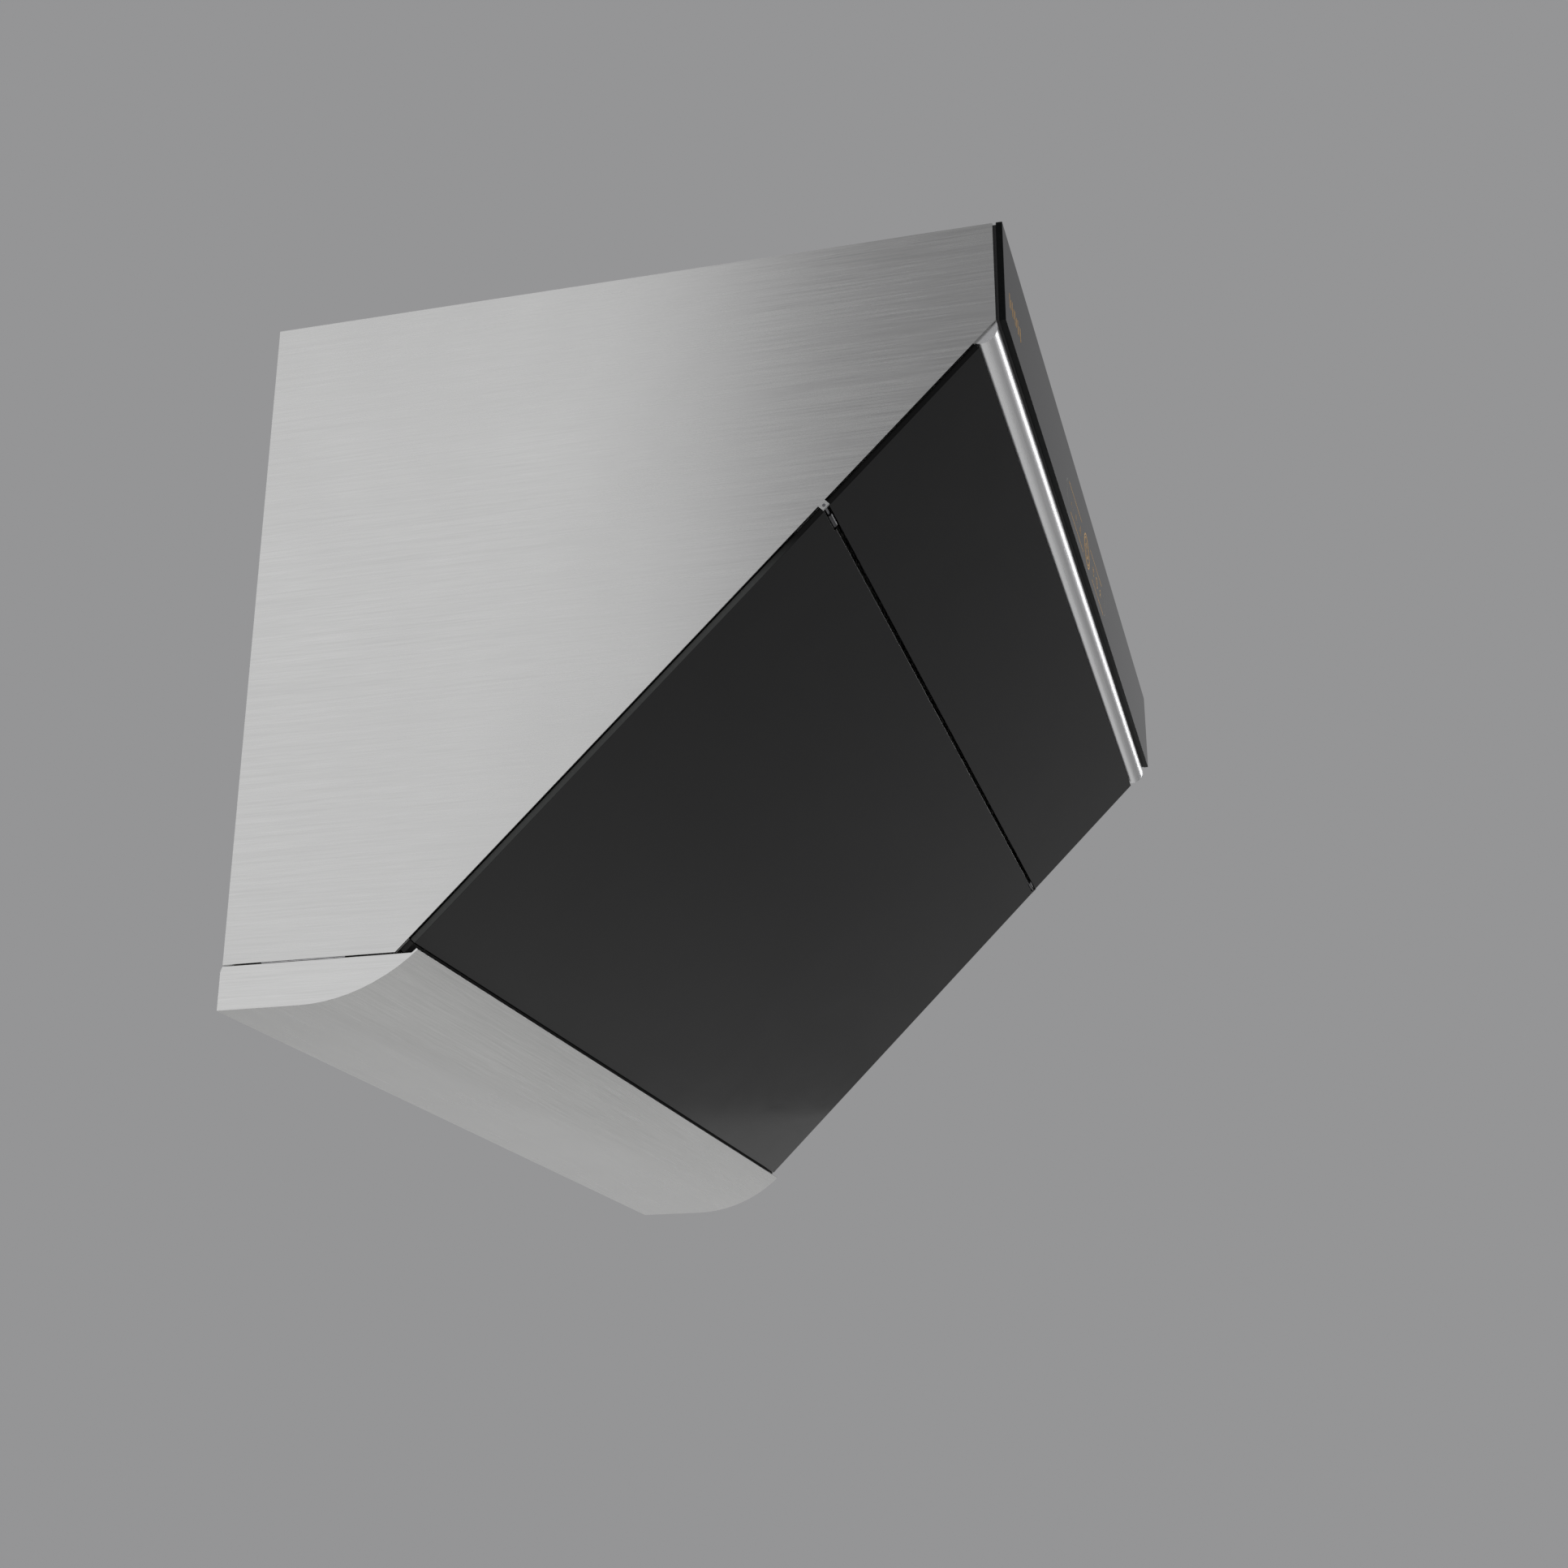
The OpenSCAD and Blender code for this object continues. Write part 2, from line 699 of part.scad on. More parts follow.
module motor_screws() {
    top = motor_z + motor_flange_t;
    color("gray") in_body() in_fan() motor_screw_places() {
        cylinder(r = screw_r, h = top);
        translate([0, 0, top]) cylinder(r = screw_head_r, h = screw_head_h);
    }
}

// Electrical parts

module capacitor() {
    color("whitesmoke") in_body() translate([cap_x, cap_y, cap_z])
        rotate([0, 90, 0]) {
            cylinder(r = cap_r, h = cap_len);
            for (y = [-6, 6]) translate([0, y, -8]) cylinder(r = 1.5, h = 9);
        }
}

// A band round the capacitor, screwed up to the top panel
module capacitor_clip() {
    color("gray") in_body() translate([cap_x + cap_len / 2 - 8, cap_y, 0]) {
        translate([0, 0, cap_z]) rotate([0, 90, 0]) tube(cap_r + cap_band, cap_r + 0.1, 16);
        translate([0, -30, body_h - sheet - cap_plate]) cube([16, 60, cap_plate]);
    }
}

module control_box() {
    color("whitesmoke") in_body() translate([box_x, box_y, body_h - sheet - box_deep]) difference() {
        cube([box_l, box_d, box_deep]);
        translate([box_wall, box_wall, -cut])
            cube([box_l - 2 * box_wall, box_d - 2 * box_wall, box_deep - box_wall + cut]);
    }
}

module control_board() {
    m = box_wall + 3;
    color("darkgreen") in_body() translate([box_x + m, box_y + m, body_h - sheet - 14]) {
        cube([box_l - 2 * m, box_d - 2 * m, 1.6]);
        for (x = [0.12, 0.4, 0.68]) translate([x * (box_l - 2 * m), 12, -22]) cube([28, 34, 22]);
        for (x = [0.3, 0.6]) translate([x * (box_l - 2 * m), 56, -16]) cylinder(r = 6, h = 16);
        for (x = [20, box_l - 2 * m - 20]) translate([x, 35, 1.6])
            cylinder(r = 3, h = 14 - 1.6 - box_wall);
    }
}

module control_box_cover() {
    lip = box_wall + seam;
    color("whitesmoke") in_body() translate([box_x, box_y, body_h - sheet - box_deep]) {
        translate([0, 0, -box_wall]) cube([box_l, box_d, box_wall]);
        translate([lip, lip, 0]) difference() {
            cube([box_l - 2 * lip, box_d - 2 * lip, 4]);
            translate([box_wall, box_wall, -cut])
                cube([box_l - 2 * lip - 2 * box_wall, box_d - 2 * lip - 2 * box_wall, 4 + 2 * cut]);
        }
    }
}

module cable_gland() {
    color("dimgray") in_body() translate([gland_x, gland_y, body_h]) difference() {
        union() {
            translate([0, 0, -gland_drop]) cylinder(r = gland_r, h = gland_drop + 1);
            cylinder(r = 12, h = 5, $fn = 6);
            translate([0, 0, 5]) cylinder(r = 8.5, h = gland_rise - 5);
        }
        translate([0, 0, -gland_drop - cut])
            cylinder(r = gland_bore, h = gland_drop + gland_rise + 2 * cut);
    }
}

module gland_nut() {
    color("dimgray") in_body() translate([gland_x, gland_y, body_h - sheet - 5]) difference() {
        cylinder(r = 12, h = 5, $fn = 6);
        translate([0, 0, -cut]) cylinder(r = gland_r, h = 5 + 2 * cut);
    }
}

// Duct collar and check flaps

module collar_screw_places() {
    for (a = [45, 135, 225, 315]) translate([0, duct_y, body_h]) rotate(a)
        translate([collar_screw_ring, 0, 0]) children();
}

module flap_axis(x) {
    translate([x, duct_y, body_h + flap_z]) rotate([90, 0, 0]) children();
}

module outlet_collar() {
    ledge_top = flap_z - flap_t / 2 - seam;
    color("black") in_body() difference() {
        translate([0, duct_y, body_h]) rotate_extrude() {
            translate([collar_r - collar_wall, 0]) square([collar_wall, collar_h]);
            translate([collar_r - collar_wall, 0]) square([collar_wall + collar_flange, 2]);
            translate([collar_r - collar_wall - ledge_w, ledge_top - 1.5])
                square([ledge_w + 0.5, 1.5]);
        }
        for (x = [-flap_gap, flap_gap]) flap_axis(x) translate([0, 0, -collar_r - cut])
            cylinder(r = flap_pin_r, h = 2 * collar_r + 2 * cut);
        collar_screw_places() translate([0, 0, -cut])
            cylinder(r = screw_r + screw_slack, h = 2 + 2 * cut);
    }
}

// Half a disc on two knuckles round its pin
module flap() {
    inner = flap_gap + flap_knuckle_r - 0.4;
    difference() {
        union() {
            translate([0, duct_y, body_h + flap_z - flap_t / 2]) linear_extrude(flap_t)
                intersection() {
                    circle(r = flap_r);
                    translate([inner, -flap_r]) square([flap_r, 2 * flap_r]);
                }
            for (y = [-1, 1]) flap_axis(flap_gap)
                translate([0, 0, y * flap_knuckle_y - flap_knuckle_len / 2])
                    cylinder(r = flap_knuckle_r, h = flap_knuckle_len);
        }
        flap_axis(flap_gap) translate([0, 0, -collar_r])
            cylinder(r = flap_pin_r + pin_clear, h = 2 * collar_r);
    }
}

module flap_left() { color("gray") in_body() mirror([1, 0, 0]) flap(); }
module flap_right() { color("gray") in_body() flap(); }

module flap_pins() {
    half = sqrt(collar_r * collar_r - flap_gap * flap_gap) - 0.5;
    color("silver") in_body() for (x = [-flap_gap, flap_gap]) flap_axis(x)
        translate([0, 0, -half]) cylinder(r = flap_pin_r, h = 2 * half);
}

module collar_screws() {
    color("gray") in_body() collar_screw_places() {
        translate([0, 0, -6]) cylinder(r = screw_r, h = 8);
        translate([0, 0, 2]) cylinder(r = screw_head_r, h = screw_head_h);
    }
}

// Wall fixing: the rail on the body hooks over the bracket on the wall

module wall_bracket() {
    lip = hang_z + bracket_h / 2;
    near = wall_gap - hook_y;
    color("gray") in_body() difference() {
        extrude_x(bracket_w) polygon([[wall_gap, hang_z - bracket_h / 2], [wall_gap, lip],
            [near + hook_t, lip], [near + hook_t, lip + hook_h], [near, lip + hook_h],
            [near, lip - bracket_t], [wall_gap - bracket_t, lip - bracket_t],
            [wall_gap - bracket_t, hang_z - bracket_h / 2]]);
        for (x = [-bracket_hole_x, bracket_hole_x]) translate([x, wall_gap + cut, hang_z])
            rotate([90, 0, 0]) cylinder(r = bracket_hole_r, h = bracket_t + 2 * cut);
    }
}

module rail_screw_places() {
    for (x = [-180, -60, 60, 180])
        translate([x, 0, body_h - 14]) rotate([90, 0, 0]) children();
}

module hang_rail() {
    rest = hang_z + bracket_h / 2 + hook_h;
    far = wall_gap - 0.5;
    t = rail_t;
    color("gray") in_body() difference() {
        extrude_x(bracket_w - 20) polygon([[0, rest], [far - t, rest], [far - t, rest - hook_h + 1],
            [far, rest - hook_h + 1], [far, rest + t], [t, rest + t], [t, body_h - 4],
            [0, body_h - 4]]);
        rail_screw_places() translate([0, 0, -2 * cut])
            cylinder(r = screw_r + screw_slack, h = 4 * cut);
    }
}

module rail_screws() {
    color("gray") in_body() rail_screw_places() {
        translate([0, 0, -rail_t]) cylinder(r = screw_r, h = 7);
        translate([0, 0, -rail_t - screw_head_h]) cylinder(r = screw_head_r, h = screw_head_h);
    }
}

// Oil tray and its hangers

// Outline of the tray from the side, drawn inside its sheet by inset
module tray_area(inset) {
    r = tray_r - inset;
    translate([tray_bend, tray_floor + inset])
        square([tray_back - inset - tray_bend, tray_h - inset + (inset > 0 ? cut : 0)]);
    intersection() {
        translate([tray_bend, tray_floor + tray_r]) circle(r = r);
        translate([tray_bend - tray_r, tray_floor - cut])
            square([tray_r + 0.01, tray_h + cut + (inset > 0 ? cut : 0)]);
    }
}

// The curved front sheet carries on past the side walls to its lip
module tray_lip_area() {
    far = 2 * tray_r;
    translate([tray_bend, tray_floor + tray_r]) intersection() {
        difference() {
            circle(r = tray_r);
            circle(r = tray_r - tray_t);
        }
        polygon([[0, 0], [-far * sin(tray_arc), -far * cos(tray_arc)], [0, -far]]);
    }
}

module oil_tray() {
    notch = tray_flange + 3.5;
    color("silver") in_body() difference() {
        union() {
            difference() {
                extrude_x(body_w) tray_area(0);
                extrude_x(body_w - 2 * tray_t) tray_area(tray_t);
            }
            extrude_x(body_w) tray_lip_area();
            both_sides() translate([flange_x, -bottom_d + 12, tray_top - tray_t])
                cube([tray_flange + tray_t / 2, bottom_d - 16, tray_t]);
        }
        both_sides() translate([body_w / 2 - notch - 1.2, -4, tray_top - 3.4])
            cube([notch - tray_t, 8, 4]);
        extrude_x(body_w + 2) polygon([[tray_back - 1.8, 1], [tray_back + 1, 1],
            [tray_back + 1, tray_top - 2.8], [tray_back, tray_top - 2.8]]);
    }
}

module hanger_screw_places() {
    for (y = [hanger_y - 8, hanger_y - 26])
        translate([body_w / 2 - 20, y, 0]) children();
}

// A pad under the floor, a web and a lip that carries the tray's flange
module tray_hanger() {
    web_x = flange_x - hanger_slack - hanger_t;
    lip_z = tray_top - tray_t - hanger_slack - hanger_t;
    difference() {
        translate([0, hanger_y - hanger_len, 0]) {
            translate([body_w / 2 - 28, 0, -hanger_pad]) cube([28 - 0.6, hanger_len, hanger_pad]);
            translate([web_x, 0, lip_z]) cube([hanger_t, hanger_len, -lip_z]);
            translate([web_x, 0, lip_z]) cube([hanger_t + tray_flange - 2, hanger_len, hanger_t]);
        }
        hanger_screw_places() translate([0, 0, -hanger_pad - cut])
            cylinder(r = small_screw_r + screw_slack, h = hanger_pad + 2 * cut);
    }
}

module tray_hanger_left() { color("silver") in_body() mirror([1, 0, 0]) tray_hanger(); }
module tray_hanger_right() { color("silver") in_body() tray_hanger(); }

module hanger_screws() {
    color("gray") in_body() both_sides() hanger_screw_places() {
        translate([0, 0, -hanger_pad]) cylinder(r = small_screw_r, h = hanger_pad + sheet);
        translate([0, 0, sheet]) cylinder(r = small_head_r, h = 1.5);
    }
}

side_left();
side_right();
top_panel();
back_panel();
floor_panel();
upper_backing();
suction_frame();
seal_strip();
control_glass();
glass_spacer();
touch_board();
front_trim();
trim_cap_left();
trim_cap_right();
upper_glass();
lower_glass();
panel_frame();
hinge_leaf_left();
hinge_leaf_right();
hinge_pin_left();
hinge_pin_right();
strike_plates();
catch_magnets();
grease_filter();
filter_clips();
fan_scroll();
fan_rear_plate();
fan_front_plate();
inlet_ring();
fan_posts();
fan_screws();
impeller();
impeller_nut();
motor_shaft();
motor();
motor_mount();
motor_bushes();
motor_screws();
capacitor();
capacitor_clip();
control_box();
control_board();
control_box_cover();
outlet_collar();
flap_left();
flap_right();
flap_pins();
collar_screws();
cable_gland();
gland_nut();
wall_bracket();
hang_rail();
rail_screws();
oil_tray();
tray_hanger_left();
tray_hanger_right();
hanger_screws();
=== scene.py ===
"""Looks of a wall-mounted range hood: brushed steel body, black glass front, oil tray underneath.

Everything is in metres in the part's frame: X to the right, -Y into the room, +Z up, origin on the wall.
"""

import math

import bmesh
import bpy
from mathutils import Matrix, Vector


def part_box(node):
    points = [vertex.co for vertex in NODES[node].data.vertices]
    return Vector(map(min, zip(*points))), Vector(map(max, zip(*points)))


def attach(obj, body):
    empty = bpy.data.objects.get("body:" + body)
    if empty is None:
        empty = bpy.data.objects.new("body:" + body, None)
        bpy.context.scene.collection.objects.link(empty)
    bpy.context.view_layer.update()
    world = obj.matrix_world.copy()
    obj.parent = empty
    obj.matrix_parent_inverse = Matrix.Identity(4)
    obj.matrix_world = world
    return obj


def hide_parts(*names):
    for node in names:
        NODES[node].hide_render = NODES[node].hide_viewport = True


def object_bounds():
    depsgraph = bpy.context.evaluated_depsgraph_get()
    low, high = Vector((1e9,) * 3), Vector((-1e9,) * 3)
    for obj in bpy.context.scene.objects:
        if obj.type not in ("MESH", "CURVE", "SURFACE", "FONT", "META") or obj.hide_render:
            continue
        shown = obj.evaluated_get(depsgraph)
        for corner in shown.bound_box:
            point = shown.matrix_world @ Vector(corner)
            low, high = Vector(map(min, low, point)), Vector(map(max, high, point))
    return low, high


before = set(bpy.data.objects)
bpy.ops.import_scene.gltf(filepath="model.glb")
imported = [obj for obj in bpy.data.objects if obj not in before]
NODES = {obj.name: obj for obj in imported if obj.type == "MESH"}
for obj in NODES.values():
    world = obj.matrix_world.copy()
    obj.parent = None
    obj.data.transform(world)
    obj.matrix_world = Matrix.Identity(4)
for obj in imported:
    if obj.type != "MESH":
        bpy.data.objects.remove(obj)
CAD_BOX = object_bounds()
MM = 0.001

# Corners closer than this belong to the same solid.
WELD_DISTANCE = 0.004 * MM
GLASS_AND_SIDE_EDGE = 0.35 * MM
TRAY_EDGE = 0.30 * MM

# The lower glass's side edge turns from pale to dark this far under the upper glass; the dark is painted
# shade for the gap beside the upper glass.
PAINTED_SHADE_DROP = 28 * MM
# The bare stack of laminations lies between these two distances in front of the fan's rear plate.
STACK_START = 30 * MM
STACK_END = 52 * MM
# The control board's own level, under the top of its parts.
CONTROL_BOARD_DEPTH = 12.0 * MM
TOUCH_BOARD_STEP = 0.05 * MM


# ---- Node helpers -------------------------------------------------------------------------------


class Finish:
    """A Principled material whose colour, roughness and bump come from textures in object space."""

    def __init__(self, name, roughness=0.5, metallic=0.0, **sockets):
        self.material = bpy.data.materials.new(name)
        self.material.use_nodes = True
        self.tree = self.material.node_tree
        self.shader = self.tree.nodes["Principled BSDF"]
        self.shader.inputs["Roughness"].default_value = roughness
        self.shader.inputs["Metallic"].default_value = metallic
        for socket, value in sockets.items():
            self.shader.inputs[socket.replace("_", " ")].default_value = value
        self.coordinates = self.tree.nodes.new("ShaderNodeTexCoord")

    def link(self, source, target):
        self.tree.links.new(source, target)

    def scaled(self, scale):
        """Object coordinates times scale, a number or one number for each axis."""
        node = self.tree.nodes.new("ShaderNodeVectorMath")
        node.operation = "MULTIPLY"
        node.inputs[1].default_value = scale if hasattr(scale, "__len__") else (scale,) * 3
        self.link(self.coordinates.outputs["Object"], node.inputs[0])
        return node.outputs[0]

    def noise(self, scale, detail=3.0, roughness=0.55, distortion=0.0):
        node = self.tree.nodes.new("ShaderNodeTexNoise")
        node.inputs["Scale"].default_value = 1.0
        node.inputs["Detail"].default_value = detail
        node.inputs["Roughness"].default_value = roughness
        node.inputs["Distortion"].default_value = distortion
        self.link(self.scaled(scale), node.inputs["Vector"])
        return node.outputs["Fac"]

    def cells(self, scale, output="Color"):
        node = self.tree.nodes.new("ShaderNodeTexVoronoi")
        node.inputs["Scale"].default_value = 1.0
        self.link(self.scaled(scale), node.inputs["Vector"])
        return node.outputs[output]

    def waves(self, scale, axis):
        node = self.tree.nodes.new("ShaderNodeTexWave")
        node.bands_direction = axis
        node.inputs["Scale"].default_value = 1.0
        node.inputs["Distortion"].default_value = 0.0
        self.link(self.scaled(scale), node.inputs["Vector"])
        return node.outputs["Fac"]

    def ramp(self, value, low, high, start=0.0, end=1.0):
        """Maps value from start..end to low..high."""
        node = self.tree.nodes.new("ShaderNodeMapRange")
        for name, number in (("From Min", start), ("From Max", end), ("To Min", low), ("To Max", high)):
            node.inputs[name].default_value = number
        self.link(value, node.inputs["Value"])
        return node.outputs["Result"]

    def math(self, operation, first, second):
        node = self.tree.nodes.new("ShaderNodeMath")
        node.operation = operation
        for socket, value in zip(node.inputs, (first, second)):
            if isinstance(value, (int, float)):
                socket.default_value = value
            else:
                self.link(value, socket)
        return node.outputs[0]

    def along(self, axis):
        """The X, Y or Z object coordinate."""
        node = self.tree.nodes.new("ShaderNodeSeparateXYZ")
        self.link(self.coordinates.outputs["Object"], node.inputs[0])
        return node.outputs[axis]

    def facing(self, axis):
        """1 on faces that look along +axis or -axis, 0 on faces that stand across it."""
        node = self.tree.nodes.new("ShaderNodeSeparateXYZ")
        self.link(self.coordinates.outputs["Normal"], node.inputs[0])
        return self.math("ABSOLUTE", node.outputs[axis], 0.0)

    def mix(self, factor, first, second):
        """A colour between two colours, each a tuple or another socket."""
        node = self.tree.nodes.new("ShaderNodeMix")
        node.data_type = "RGBA"
        self.link(factor, node.inputs["Factor"])
        for name, colour in (("A", first), ("B", second)):
            socket = [s for s in node.inputs if s.name == name and s.type == "RGBA"][0]
            if isinstance(colour, tuple):
                socket.default_value = (*colour, 1.0)
            else:
                self.link(colour, socket)
        return [s for s in node.outputs if s.type == "RGBA"][0]

    def blend(self, factor, first, second):
        """A value between two values."""
        node = self.tree.nodes.new("ShaderNodeMix")
        node.data_type = "FLOAT"
        for socket, value in zip(node.inputs, (factor, None, first, second)):
            if value is not None:
                self.link(value, socket)
        return node.outputs[0]

    def colour(self, value):
        if isinstance(value, tuple):
            self.shader.inputs["Base Color"].default_value = (*value, 1.0)
        else:
            self.link(value, self.shader.inputs["Base Color"])

    def roughness(self, value):
        self.link(value, self.shader.inputs["Roughness"])

    def bump(self, height, strength, depth):
        """Adds relief of depth metres on top of what is there."""
        node = self.tree.nodes.new("ShaderNodeBump")
        node.inputs["Strength"].default_value = strength
        node.inputs["Distance"].default_value = depth
        self.link(height, node.inputs["Height"])
        before = self.shader.inputs["Normal"].links
        if before:
            self.link(before[0].from_socket, node.inputs["Normal"])
        self.link(node.outputs["Normal"], self.shader.inputs["Normal"])


def shade(colour, factor):
    return tuple(min(1.0, c * factor) for c in colour)


def stretched(grain, along, across):
    """A scale that draws a texture out along one axis."""
    return tuple(along if axis == grain else across for axis in "XYZ")


# ---- Materials ----------------------------------------------------------------------------------


def brushed_steel(name, grain, colour=(0.60, 0.60, 0.595), rough=(0.19, 0.28), end_grain=None):
    """Stainless sheet brushed along grain, and along end_grain on faces that look that way."""
    f = Finish(name, metallic=1.0)
    streaks = f.noise(stretched(grain, 14, 900), detail=4, roughness=0.7)
    hair = f.noise(stretched(grain, 45, 3200), detail=2)
    if end_grain:
        end = f.ramp(f.facing(grain), 0, 1, 0.6, 0.8)
        streaks = f.blend(end, streaks, f.noise(stretched(end_grain, 14, 900), detail=4, roughness=0.7))
        hair = f.blend(end, hair, f.noise(stretched(end_grain, 45, 3200), detail=2))
    clouds = f.noise(6.5, detail=3, distortion=0.6)
    base = f.mix(f.ramp(streaks, 0, 1, 0.30, 0.70), shade(colour, 0.87), shade(colour, 1.08))
    cloudy = f.mix(f.ramp(clouds, 0, 0.35, 0.35, 0.75), base, shade(colour, 0.93))
    f.colour(f.mix(f.ramp(hair, 0, 0.30, 0.35, 0.80), cloudy, shade(colour, 0.80)))
    wear = f.math("ADD", f.ramp(streaks, rough[0], rough[1], 0.3, 0.7), f.ramp(clouds, -0.03, 0.05))
    f.roughness(wear)
    f.bump(streaks, 0.30, 0.05 * MM)
    f.bump(hair, 0.22, 0.02 * MM)
    return f.material


def polished_trim(name):
    """Bright drawn aluminium with fine lines along X."""
    colour = (0.80, 0.80, 0.81)
    f = Finish(name, metallic=0.95)
    lines = f.noise(stretched("X", 9, 2600), detail=3)
    f.colour(f.mix(lines, shade(colour, 0.90), shade(colour, 1.08)))
    f.roughness(f.ramp(lines, 0.25, 0.36, 0.3, 0.7))
    f.bump(lines, 0.20, 0.02 * MM)
    return f.material


def black_glass(name, face_axis):
    """Back-painted glass: a deep gloss face with faint smears, and matt ground edges."""
    f = Finish(name, roughness=0.09, IOR=1.5, Specular_IOR_Level=0.03)
    smears = f.noise((9, 14, 14), detail=4, distortion=1.2)
    dust = f.noise(1400, detail=1)
    face = f.mix(smears, (0.0075, 0.0075, 0.008), (0.012, 0.012, 0.0125))
    ground = f.mix(f.noise(500), (0.007, 0.008, 0.008), (0.013, 0.014, 0.014))
    edge = f.ramp(f.facing(face_axis), 1, 0, 0.30, 0.65)
    f.colour(f.mix(edge, face, ground))
    worn = f.math("ADD", f.ramp(smears, 0.025, 0.07, 0.35, 0.75), f.ramp(dust, 0, 0.02, 0.5, 0.8))
    f.roughness(f.math("ADD", worn, f.ramp(edge, 0, 0.25)))
    f.bump(smears, 0.04, 0.05 * MM)
    return f.material


def slope_glass(name, edge_low, shaded_edge, turn_z):
    """The same glass on the 45 degree front: its side edges are pale below turn_z and dark above it, where
    the dark is painted shade standing in for the shadow beside the upper glass.
    """
    f = Finish(name, roughness=0.09, IOR=1.5, Specular_IOR_Level=0.14)
    smears = f.noise((8, 12, 12), detail=4, distortion=1.4)
    dust = f.noise(1500, detail=1)
    face = f.mix(smears, (0.013, 0.013, 0.0135), (0.018, 0.018, 0.0185))
    # Mask of the painted shade: 0 below turn_z, 1 above it, where the side edge takes the dark colour.
    height = f.ramp(f.along("Z"), 0, 1, turn_z - 12 * MM, turn_z + 12 * MM)
    # On the upper glass edge_low is the painted shade colour too, so ground there is painted shade, not a
    # ground edge colour.
    ground = f.mix(f.noise(520), shade(edge_low, 0.85), shade(edge_low, 1.15))
    edge = f.ramp(f.facing("X"), 0, 1, 0.4, 0.8)
    f.colour(f.mix(edge, face, f.mix(height, ground, shaded_edge)))
    worn = f.math("ADD", f.ramp(smears, 0.055, 0.13, 0.35, 0.75), f.ramp(dust, 0, 0.03, 0.5, 0.8))
    f.roughness(f.math("ADD", worn, f.ramp(edge, 0, 0.30)))
    f.bump(smears, 0.04, 0.05 * MM)
    return f.material


def galvanised(name, colour=(0.55, 0.57, 0.58), size=95, rough=(0.38, 0.48)):
    """Zinc-coated sheet with its crystal pattern."""
    f = Finish(name, metallic=1.0)
    crystals = f.cells(size)
    grey = f.tree.nodes.new("ShaderNodeRGBToBW")
    f.link(crystals, grey.inputs[0])
    tone = grey.outputs[0]
    dull = f.noise(24, detail=4, distortion=0.8)
    base = f.mix(tone, shade(colour, 0.92), shade(colour, 1.07))
    f.colour(f.mix(f.ramp(dull, 0, 0.45, 0.4, 0.8), base, shade(colour, 0.72)))
    f.roughness(f.math("ADD", f.ramp(tone, rough[0], rough[1]), f.ramp(dull, -0.04, 0.08)))
    f.bump(f.cells(size, "Distance"), 0.10, 0.04 * MM)
    f.bump(f.noise(1800, detail=2), 0.12, 0.01 * MM)
    return f.material


def plated(name, colour, rough=(0.24, 0.40)):
    """Plated small hardware: even metal with fine scratches and darker blotches."""
    f = Finish(name, metallic=1.0)
    blotches = f.noise(260, detail=3)
    scratches = f.noise((900, 4200, 1700), detail=2, distortion=0.5)
    f.colour(f.mix(f.ramp(blotches, 0, 1, 0.3, 0.75), shade(colour, 1.05), shade(colour, 0.78)))
    even = f.ramp(blotches, rough[0], rough[1], 0.3, 0.7)
    f.roughness(f.math("ADD", even, f.ramp(scratches, -0.03, 0.05)))
    f.bump(scratches, 0.16, 0.01 * MM)
    return f.material


def moulded(name, colour, rough=(0.42, 0.60), grain=2100, relief=0.30):
    """Moulded plastic with a fine spark-eroded texture and slightly uneven gloss."""
    f = Finish(name, roughness=0.5)
    texture = f.noise(grain, detail=2, roughness=0.6)
    flow = f.noise(28, detail=3, distortion=0.7)
    f.colour(f.mix(f.ramp(flow, 0, 1, 0.3, 0.7), shade(colour, 0.86), shade(colour, 1.10)))
    f.roughness(f.math("ADD", f.ramp(flow, rough[0], rough[1], 0.3, 0.7), f.ramp(texture, -0.05, 0.05)))
    f.bump(texture, relief, 0.03 * MM)
    return f.material


def rubber(name, colour=(0.012, 0.012, 0.012)):
    f = Finish(name, roughness=0.8)
    bloom = f.noise(60, detail=4)
    pores = f.noise(2600, detail=2)
    f.colour(f.mix(f.ramp(bloom, 0, 1, 0.4, 0.75), colour, (0.032, 0.031, 0.030)))
    f.roughness(f.ramp(bloom, 0.66, 0.88, 0.3, 0.7))
    f.bump(pores, 0.35, 0.03 * MM)
    return f.material


def circuit_board(name, axis, level, components_above):
    """Green solder mask with copper tracks, and dark or pale parts past the board's own level on axis."""
    f = Finish(name, roughness=0.38)
    tracks = f.ramp(f.cells((260, 260, 260), "Distance"), 0, 1, 0.10, 0.16)
    fine = f.noise(700, detail=2)
    mask = f.mix(tracks, (0.030, 0.160, 0.060), (0.010, 0.065, 0.030))
    parts_tone = f.noise(38, detail=0)
    parts = f.mix(f.ramp(parts_tone, 0, 1, 0.48, 0.52), (0.018, 0.018, 0.020), (0.10, 0.16, 0.30))
    place = f.along(axis)
    start, end = (level - 0.1 * MM, level + 0.1 * MM)
    is_part = f.ramp(place, 0, 1, start, end) if components_above else f.ramp(place, 1, 0, start, end)
    f.colour(f.mix(is_part, mask, parts))
    f.roughness(f.ramp(fine, 0.30, 0.50, 0.3, 0.7))
    f.bump(tracks, 0.25, 0.03 * MM)
    return f.material


